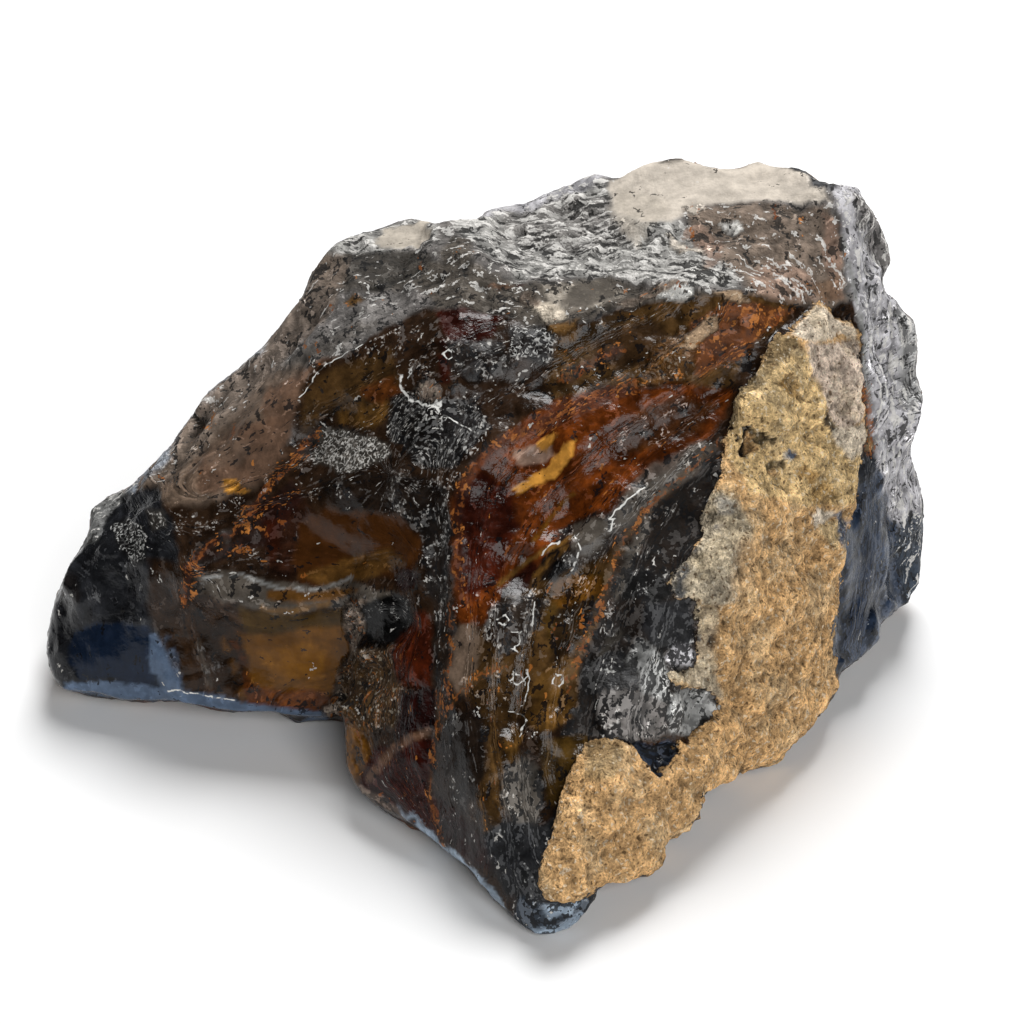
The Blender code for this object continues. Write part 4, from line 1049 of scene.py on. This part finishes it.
def stone_material(looks):
    """Rough broken pietersite: fibrous quartz with a wet look where it broke clean, and its sandy
    host rock and dust where it weathered.

    It broke along its fibres, so the eye gets dark, glassy faces with brown and gold bands that bend
    together, white crystal edges, and rust in the cracks. Its glints and glitter are painted highlights,
    and its hollows and the creases of its sand are painted darker as shade. Nothing on it was cut or
    polished."""
    material = bpy.data.materials.new("pietersite broken rough")
    material.use_nodes = True
    material.node_tree.nodes.clear()
    node = partial(add, material.node_tree)
    rgb = {"data_type": "RGBA"}
    names = (*CHANNELS, "across", "cavity", "rind", "vein_side", "vein_reach", "glint_side", "glint_reach")
    field = {name: node("Attribute", out="Fac", attribute_name=name) for name in names}
    tint = node("Attribute", out="Color", attribute_name="tint")
    rind_tint = node("Attribute", out="Color", attribute_name="rind_tint")
    place = node("TexCoord", out="Object")
    place = node("VectorMath SCALE", place, 1000.0)
    x, z = node("SeparateXYZ", place, out=("X", "Z"))

    # Places for the patterns: all over, along the fibres, and along the bedding.
    swirl = node("TexNoise", place, 0.35, 3.0, 0.6, out="Color")
    swirl = node("VectorMath SUBTRACT", swirl, (0.5, 0.5, 0.5))
    swirl = node("VectorMath SCALE", swirl, 1.7)
    fray = node("TexNoise", place, 2.0, 1.0, 0.6, out="Color")
    fray = node("VectorMath SCALE", fray, 0.5)
    swirl_frayed = node("VectorMath ADD", swirl, fray)
    slight = node("VectorMath MULTIPLY_ADD", swirl, (0.35, 0.35, 0.35), fray)

    def stretched(across, share, push):
        """Places squeezed to a share of their length along the run of the pattern."""
        long_x, long_z = node("Math MULTIPLY", x, share), node("Math MULTIPLY", z, share)
        return node("VectorMath ADD", node("CombineXYZ", across, long_x, long_z), push)

    bed = node("VectorMath DOT_PRODUCT", place, tuple(BEDDING), out="Value")
    flow = stretched(field["across"], 0.22, swirl)
    grain_run = stretched(field["across"], 0.40, swirl_frayed)
    bed_run = stretched(bed, 0.26, slight)
    clump = node("TexNoise", place, 0.33, 3.0, 0.6)
    shade = node("TexNoise", place, 1.3, 1.0, 0.5)
    mottle = node("TexNoise", place, 0.5, 4.0, 0.62)

    # Quartz: bands 1 to 2 mm wide with fibres in them, which follow the flow. The real fibres are
    # under 0.1 mm, too fine to show, so they are drawn 0.6 mm wide. Calm stone is evenly toned.
    band = node("TexNoise", flow, 0.55, 3.0, 0.5)
    streak = node("TexNoise", flow, 1.7, 2.0, 0.5)
    band_gain = node("MapRange SMOOTHSTEP", band, 0.38, 0.62, 0.42, 1.65)
    streak_gain = node("MapRange SMOOTHSTEP", streak, 0.38, 0.62, 0.7, 1.3)
    gain = node("Math MULTIPLY", band_gain, streak_gain)
    gain = node("Mix", field["fibre"], 1.0, gain)
    gain = node("Math MULTIPLY", gain, node("MapRange SMOOTHSTEP", mottle, 0.34, 0.66, 0.62, 1.38))
    gain = node("Mix", node("Math MULTIPLY", field["calm"], 0.75), gain, 1.0)
    busy = node("MapRange LINEAR", field["calm"], 0.5, 0.8, 1.0, 0.0)
    colour = node("Mix MULTIPLY", 1.0, tint, gain, **rgb)

    # Flakes: splinters 0.3 by 0.9 mm along the run of the fibres, some dark and some pale.
    flake, flake_reach = node("TexVoronoi F1", grain_run, 2.9, out=("Color", "Distance"))
    flake_a, flake_b, flake_c = node("SeparateColor", flake, out=("Red", "Green", "Blue"))
    thick = node("MapRange SMOOTHSTEP", clump, 0.38, 0.60, 0.45, 1.25)
    dark_share = node("Math MULTIPLY", field["strand"], node("Math MULTIPLY", thick, 0.40))
    flake_dark = node("Math LESS_THAN", flake_a, dark_share)
    colour = node("Mix", node("Math MULTIPLY", flake_dark, 0.85), colour, rgba("0e0e10"), **rgb)
    pale_share = node("Math MULTIPLY_ADD", field["strand"], -0.30, 1.0)
    flake_pale = node("Math GREATER_THAN", flake_a, pale_share)
    pale_tint = node("Mix MULTIPLY", 1.0, tint, (2.0, 2.0, 2.0, 1.0), **rgb)
    pale_tint = node("Mix", node("Math MULTIPLY", field["sparkle"], 0.4), pale_tint, rgba("a5a5a4"), **rgb)
    flake_pale = node("Math MULTIPLY", flake_pale, busy)
    colour = node("Mix", node("Math MULTIPLY", flake_pale, 0.8), colour, pale_tint, **rgb)

    # Strokes: glints painted as pale highlights on crests about 0.2 mm wide, along the fibres or tangled
    # like lace, in loose clumps.
    stroke = node("TexNoise", grain_run, 2.1, 1.0, 0.5)
    stroke_tone = node("TexNoise", place, 2.6, 0.0, 0.5)
    stroke = node("Math ABSOLUTE", node("Math SUBTRACT", stroke, 0.5))
    stroke_gate = node("MapRange LINEAR", field["sparkle"], 0.0, 1.0, 0.72, 0.33)
    stroke_gate = node("Math SUBTRACT", clump, stroke_gate)
    stroke = node(
        "Math MULTIPLY",
        node("MapRange SMOOTHSTEP", stroke, 0.075, 0.045),
        node("MapRange SMOOTHSTEP", stroke_gate, 0.0, 0.05),
    )
    lace = node("TexNoise", place, 1.8, 1.0, 0.5, Distortion=0.4)
    lace = node("Math ABSOLUTE", node("Math SUBTRACT", lace, 0.5))
    lace_gate = node("MapRange LINEAR", field["lace"], 0.0, 1.0, 0.78, 0.34)
    lace_gate = node("Math SUBTRACT", clump, lace_gate)
    lace = node(
        "Math MULTIPLY",
        node("MapRange SMOOTHSTEP", lace, 0.075, 0.045),
        node("MapRange SMOOTHSTEP", lace_gate, 0.0, 0.05),
    )
    stroke = node("Math MULTIPLY", stroke, node("MapRange SMOOTHSTEP", shade, 0.44, 0.56, 0.0, 0.95))
    lace = node("Math MULTIPLY", lace, node("MapRange SMOOTHSTEP", shade, 0.36, 0.46, 0.3, 1.0))
    pale = node("Math MULTIPLY", node("Math MAXIMUM", stroke, lace), busy)
    stroke_tone = node("Math MULTIPLY_ADD", lace, 0.12, stroke_tone)
    stroke_tone = node("MapRange SMOOTHSTEP", stroke_tone, 0.44, 0.72)
    stroke_colour = node("Mix", stroke_tone, rgba("5c5a57"), rgba("dededa"), **rgb)
    stained = node("Mix MULTIPLY", 1.0, tint, (7.0, 7.0, 7.0, 1.0), **rgb)
    stroke_colour = node("Mix", 0.4, stroke_colour, stained, **rgb)
    colour = node("Mix", pale, colour, stroke_colour, **rgb)

    # Dust on the weathered faces: dark and white strokes about 0.3 mm wide along the bedding.
    bedding = node("TexNoise", bed_run, 2.0, 1.0, 0.5)
    dusty = node("Math MULTIPLY", field["dust"], thick)
    dark_line = node("MapRange LINEAR", dusty, 0.0, 1.25, 0.25, 0.475)
    dark_mask = node("Math SUBTRACT", dark_line, bedding)
    dark_mask = node("MapRange SMOOTHSTEP", dark_mask, -0.01, 0.02, 0.0, 0.85)
    colour = node("Mix", dark_mask, colour, rgba("252423"), **rgb)
    white_line = node("MapRange LINEAR", field["dust"], 0.0, 1.0, 0.80, 0.535)
    dust_mask = node("Math SUBTRACT", bedding, white_line)
    dust_mask = node("MapRange SMOOTHSTEP", dust_mask, 0.0, 0.03, 0.0, 0.9)
    dust_mask = node("Math MULTIPLY", dust_mask, node("MapRange LINEAR", flake_a, 0.0, 1.0, 0.6, 1.0))
    colour = node("Mix", dust_mask, colour, (*looks.dust_colour, 1.0), **rgb)

    # Rust: orange splinters of iron oxide, crowded along the veins.
    crowd = node("MapRange SMOOTHSTEP", clump, 0.35, 0.6, 0.25, 0.8)
    crowd = node("Math MULTIPLY", field["rust"], crowd)
    dot_mask = node("Math LESS_THAN", flake_b, crowd)
    dot_edge = node("MapRange SMOOTHSTEP", flake_reach, 0.62, 0.42, 0.0, 0.8)
    dot_mask = node("Math MULTIPLY", dot_mask, dot_edge)
    dot_colour = node("Mix", flake_c, rgba("6e3414"), (*looks.rust_colour, 1.0), **rgb)
    colour = node("Mix", dot_mask, colour, dot_colour, **rgb)
    # Glitter: pale dots painted as highlights where the finish sparkles.
    spark = node("Math LESS_THAN", flake_c, node("Math MULTIPLY", field["sparkle"], 0.10))
    spark = node("Math MULTIPLY", spark, node("MapRange SMOOTHSTEP", flake_reach, 0.42, 0.28, 0.0, 0.9))
    colour = node("Mix", spark, colour, rgba("c4c1bb"), **rgb)
    sway = node("Math MULTIPLY_ADD", node("TexNoise", place, 0.9, 3.0, 0.6), 1.6, -0.8)
    vein = node("Math ABSOLUTE", node("Math ADD", field["vein_side"], sway))
    vein = node(
        "Math MULTIPLY",
        node("MapRange SMOOTHSTEP", vein, 0.20, 0.05),
        node("MapRange SMOOTHSTEP", field["vein_reach"], 0.9, 0.5),
    )
    vein = node("Math MULTIPLY", vein, node("MapRange SMOOTHSTEP", shade, 0.44, 0.56, 0.0, 0.65))
    colour = node("Mix", vein, colour, rgba("8a4e22"), **rgb)
    # Glints: pale lines painted as highlights along the glint runs.
    curl = node("Math MULTIPLY_ADD", node("TexNoise", place, 0.8, 1.0, 0.5), 0.9, -0.45)
    glint = node("Math ABSOLUTE", node("Math ADD", field["glint_side"], curl))
    glint = node(
        "Math MULTIPLY",
        node("MapRange SMOOTHSTEP", glint, 0.13, 0.06),
        node("MapRange SMOOTHSTEP", field["glint_reach"], 0.6, 0.4),
    )
    glint = node("Math MULTIPLY", glint, node("MapRange SMOOTHSTEP", shade, 0.40, 0.47, 0.1, 1.0))
    colour = node("Mix", glint, colour, rgba("e2e1dc"), **rgb)

    # Sandy rock: knobs of 3 mm made of crumbs of 1 to 2 mm, then grains of 0.4 mm, with brown creases
    # and pale flecks between them, and broad paler and darker stains of 4 to 6 mm. The creases are
    # painted shade, the flecks are pale grains and partly painted highlights, and the knobs, crumbs and
    # fine grains are painted lighter where they stand high and darker where they sink, as shade.
    sand_fray = node("Math MULTIPLY_ADD", node("TexNoise", place, 0.8, 3.0, 0.6), 3.0, -1.5)
    on_rind = node("MapRange SMOOTHSTEP", node("Math ADD", field["rind"], sand_fray), -0.08, 0.08)
    pallor = node("MapRange SMOOTHSTEP", node("TexNoise", place, 0.22, 3.0, 0.65), 0.46, 0.66, 0.0, 0.40)
    rind_colour = node("Mix", pallor, rind_tint, rgba("ccb894"), **rgb)
    sand_base = node("Mix", on_rind, colour, rind_colour, **rgb)
    sand = node("Math MAXIMUM", field["sand"], on_rind)
    grain_place = node("VectorMath ADD", place, swirl_frayed)
    grain = node("TexVoronoi F1", grain_place, 2.3, out="Color")
    grain_shade = node("SeparateColor", grain, out="Red")
    crumb = node("TexNoise", grain_place, 0.55, 4.0, 0.66)
    knob = node("TexNoise", grain_place, 0.33, 2.0, 0.5)
    speck = node("TexNoise", place, 1.8, 1.0, 0.5)
    stain = node("TexNoise", place, 0.16, 3.0, 0.6)
    # Colour follows the knobs, crumbs and fine grains of the relief: painted shade where they sink.
    grain_tone_and_shade = node("MapRange SMOOTHSTEP", crumb, 0.34, 0.60, 0.74, 1.18)
    fine = node("TexNoise", place, 3.2, 2.0, 0.6)
    own_shade = node("MapRange LINEAR", grain_shade, 0.0, 1.0, 0.78, 1.24)
    knob_shade_gain = node("MapRange SMOOTHSTEP", knob, 0.40, 0.60, 0.88, 1.12)
    fine_gain = node("MapRange SMOOTHSTEP", fine, 0.38, 0.62, 0.80, 1.18)
    stain_gain = node("MapRange SMOOTHSTEP", stain, 0.38, 0.62, 0.82, 1.12)
    for part in (knob_shade_gain, fine_gain, own_shade, stain_gain):
        grain_tone_and_shade = node("Math MULTIPLY", grain_tone_and_shade, part)
    grain_tone_and_shade = node("Mix", sand, 1.0, grain_tone_and_shade)
    colour = node("Mix MULTIPLY", 1.0, sand_base, grain_tone_and_shade, **rgb)
    # Painted shade in the creases, and pale grains partly painted as highlights on the raised flecks.
    crease_shade = node("Math MULTIPLY", node("MapRange SMOOTHSTEP", speck, 0.36, 0.30), sand)
    colour = node("Mix", node("Math MULTIPLY", crease_shade, 0.75), colour, rgba("5a4229"), **rgb)
    fleck_and_highlight = node("Math MULTIPLY", node("MapRange SMOOTHSTEP", speck, 0.63, 0.67), sand)
    colour = node("Mix", node("Math MULTIPLY", fleck_and_highlight, 0.5), colour, rgba("efe2ca"), **rgb)

    # Hollows are painted darker, as shade and dirt, and bulges a little lighter, as painted light.
    hollow = node("MapRange LINEAR", field["cavity"], -0.2, 0.1, 0.4, 1.12)
    hollow = node("Mix", node("Math MULTIPLY", field["calm"], 0.7), hollow, 1.0)
    colour = node("Mix MULTIPLY", 1.0, colour, hollow, **rgb)

    # Gloss: glassy where it broke clean, matt under dust and sand.
    roughness = node("MapRange LINEAR", field["gloss"], 0.0, 1.0, 0.95, 0.13)
    roughness = node("Math ADD", roughness, node("MapRange LINEAR", mottle, 0.35, 0.65, -0.05, 0.10))
    roughness = node("Math MULTIPLY_ADD", dust_mask, 0.4, roughness)
    roughness = node("Math MULTIPLY_ADD", on_rind, 0.8, roughness, use_clamp=True)

    # Fine relief under what the mesh can hold, all heights in millimetres.
    matt = node("MapRange LINEAR", field["gloss"], 0.0, 1.0, 0.35, 0.12)
    height = node("Math MULTIPLY", node("TexNoise", place, 0.9, 3.0, 0.55), matt)
    for pattern, amount, tall in (
        (streak, field["fibre"], 0.18),
        (bedding, field["dust"], 0.6),
        (knob, sand, 2.6),
        (crumb, sand, 1.3),
        (speck, sand, 0.6),
        (fine, sand, 0.55),
    ):
        part = node("Math MULTIPLY", pattern, amount)
        height = node("Math MULTIPLY_ADD", part, tall, height)
    height = node("Math MULTIPLY", height, node("MapRange LINEAR", field["calm"], 0.0, 1.0, 1.0, 0.35))
    bump = node("Bump", Strength=1.0, Distance=MM, Height=height)
    gloss_sockets = {"Base Color": colour, "Specular IOR Level": 0.17, "IOR": 1.54}
    shader = node("BsdfPrincipled", Roughness=roughness, Normal=bump, **gloss_sockets)
    node("OutputMaterial", Surface=shader, out=())
    return material


def floor_material():
    """Matt white card: flat, even and without gloss."""
    material = bpy.data.materials.new("matt white card")
    material.use_nodes = True
    material.node_tree.nodes.clear()
    node = partial(add, material.node_tree)
    sockets = {"Base Color": rgba("f4f4f4"), "Specular IOR Level": 0.0}
    node("OutputMaterial", Surface=node("BsdfPrincipled", Roughness=0.9, **sockets), out=())
    return material


def soft_light(name, way, distance, size, power, colour="ffffff"):
    """A square soft light that looks at the stone from the given way."""
    data = bpy.data.lights.new(name, "AREA")
    data.shape = "SQUARE"
    data.size = size
    data.energy = power
    data.color = tuple(hex_linear(colour))
    lamp = bpy.data.objects.new(name, data)
    bpy.context.scene.collection.objects.link(lamp)
    way = Vector(way).normalized()
    lamp.location = Vector(SHEET_CENTRE * MM) + way * distance
    lamp.rotation_euler = way.to_track_quat("Z", "Y").to_euler()
    return lamp


# ---------------------------------------------------------------- the add-on


class PietersiteStone(bpy.types.PropertyGroup):
    skin_step: FloatProperty(
        name="Skin step",
        description="Spacing of the even skin, in mm",
        default=0.93,
        min=0.3,
    )
    ease_rounds: IntProperty(
        name="Ease rounds",
        description="How often the facets are eased",
        default=6,
        min=0,
    )
    fibre_height: FloatProperty(
        name="Fibre height",
        description="Height of the fibre ridges, in mm",
        default=0.22,
    )
    ledge_height: FloatProperty(
        name="Ledge height",
        description="Height of the small ledges, in mm",
        default=0.26,
    )
    grain_height: FloatProperty(
        name="Grain height",
        description="Height of the sand grains, in mm",
        default=0.30,
    )
    rind_lift: FloatProperty(
        name="Rind lift",
        description="Extra lift of the rind at its edge, in mm",
        default=0.45,
    )
    dust_colour: FloatVectorProperty(
        name="Dust colour",
        description="Pale dust on weathered faces",
        subtype="COLOR",
        default=tuple(hex_linear("dddad5")),
    )
    rust_colour: FloatVectorProperty(
        name="Rust colour",
        description="Iron oxide specks",
        subtype="COLOR",
        default=tuple(hex_linear("bf7a38")),
    )


class PietersiteStage(bpy.types.PropertyGroup):
    key_power: FloatProperty(
        name="Key power",
        description="Soft light behind and above",
        default=9.6,
        unit="POWER",
    )
    fill_power: FloatProperty(
        name="Fill power",
        description="Soft light beside the eye",
        default=6.4,
        unit="POWER",
    )
    world_glow: FloatProperty(
        name="World glow",
        description="Even light from all round",
        default=0.05,
        min=0.0,
    )
    floor_radius: FloatProperty(
        name="Floor radius",
        description="Half the floor's width",
        default=3.0,
        unit="LENGTH",
    )


class PIETERSITE_OT_stone(bpy.types.Operator):
    """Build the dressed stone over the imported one"""

    bl_idname = "pietersite.stone"
    bl_label = "Stone"

    def execute(self, context):
        settings = context.scene.pietersite_stone
        stone = fine_copy(settings)
        dress_mesh(stone.data, settings)
        stone.data.materials.clear()
        stone.data.materials.append(stone_material(settings))
        stone.data.shade_smooth()
        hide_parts(NODE)
        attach(stone, "root")
        return {"FINISHED"}


class PIETERSITE_OT_stage(bpy.types.Operator):
    """Set the floor, the soft lights and the camera"""

    bl_idname = "pietersite.stage"
    bl_label = "Stage"

    def execute(self, context):
        settings = context.scene.pietersite_stage
        mesh = bpy.data.meshes.new("floor")
        half = settings.floor_radius
        corner_places = [(-half, -half, 0), (half, -half, 0), (half, half, 0), (-half, half, 0)]
        mesh.from_pydata(corner_places, [], [(0, 1, 2, 3)])
        mesh.materials.append(floor_material())
        floor = bpy.data.objects.new("floor", mesh)
        context.scene.collection.objects.link(floor)
        soft_light("key softbox", (0.12, 0.50, 0.85), 0.9, 0.42, settings.key_power)
        soft_light("front fill", (0.30, -0.80, 0.50), 1.0, 0.6, settings.fill_power)
        world = bpy.data.worlds.new("studio")
        world.use_nodes = True
        world.node_tree.nodes.clear()
        node = partial(add, world.node_tree)
        # The stone gets a faint even glow, and the empty background behind it is seen white.
        seen = node("LightPath", out="Is Camera Ray")
        strength = node("MapRange", seen, 0.0, 1.0, settings.world_glow, 1.0)
        node("OutputWorld", node("Background", rgba("ffffff"), strength, out="Background"), out=())
        context.scene.world = world
        context.scene.view_settings.view_transform = "Standard"
        data = bpy.data.cameras.new("camera")
        data.lens = LENS
        data.sensor_width = SENSOR
        camera = bpy.data.objects.new("camera", data)
        camera.location = Vector(EYE * MM)
        camera.rotation_euler = (math.pi / 2 - EYE_ELEVATION, 0.0, 0.0)
        context.scene.collection.objects.link(camera)
        context.scene.camera = camera
        return {"FINISHED"}


class PIETERSITE_PT_panel(bpy.types.Panel):
    bl_label = "Rough pietersite"
    bl_space_type = "VIEW_3D"
    bl_region_type = "UI"
    bl_category = "Pietersite"

    def draw(self, context):
        for settings, operator in (
            (context.scene.pietersite_stone, PIETERSITE_OT_stone),
            (context.scene.pietersite_stage, PIETERSITE_OT_stage),
        ):
            box = self.layout.box()
            for name in settings.__annotations__:
                box.prop(settings, name)
            box.operator(operator.bl_idname)


CLASSES = (PietersiteStone, PietersiteStage, PIETERSITE_OT_stone, PIETERSITE_OT_stage, PIETERSITE_PT_panel)


def register():
    for cls in CLASSES:
        bpy.utils.register_class(cls)
    bpy.types.Scene.pietersite_stone = PointerProperty(type=PietersiteStone)
    bpy.types.Scene.pietersite_stage = PointerProperty(type=PietersiteStage)


def unregister():
    del bpy.types.Scene.pietersite_stage
    del bpy.types.Scene.pietersite_stone
    for cls in reversed(CLASSES):
        bpy.utils.unregister_class(cls)


def main():
    register()
    bpy.ops.pietersite.stone()
    bpy.ops.pietersite.stage()


if __name__ == "__main__":
    main()
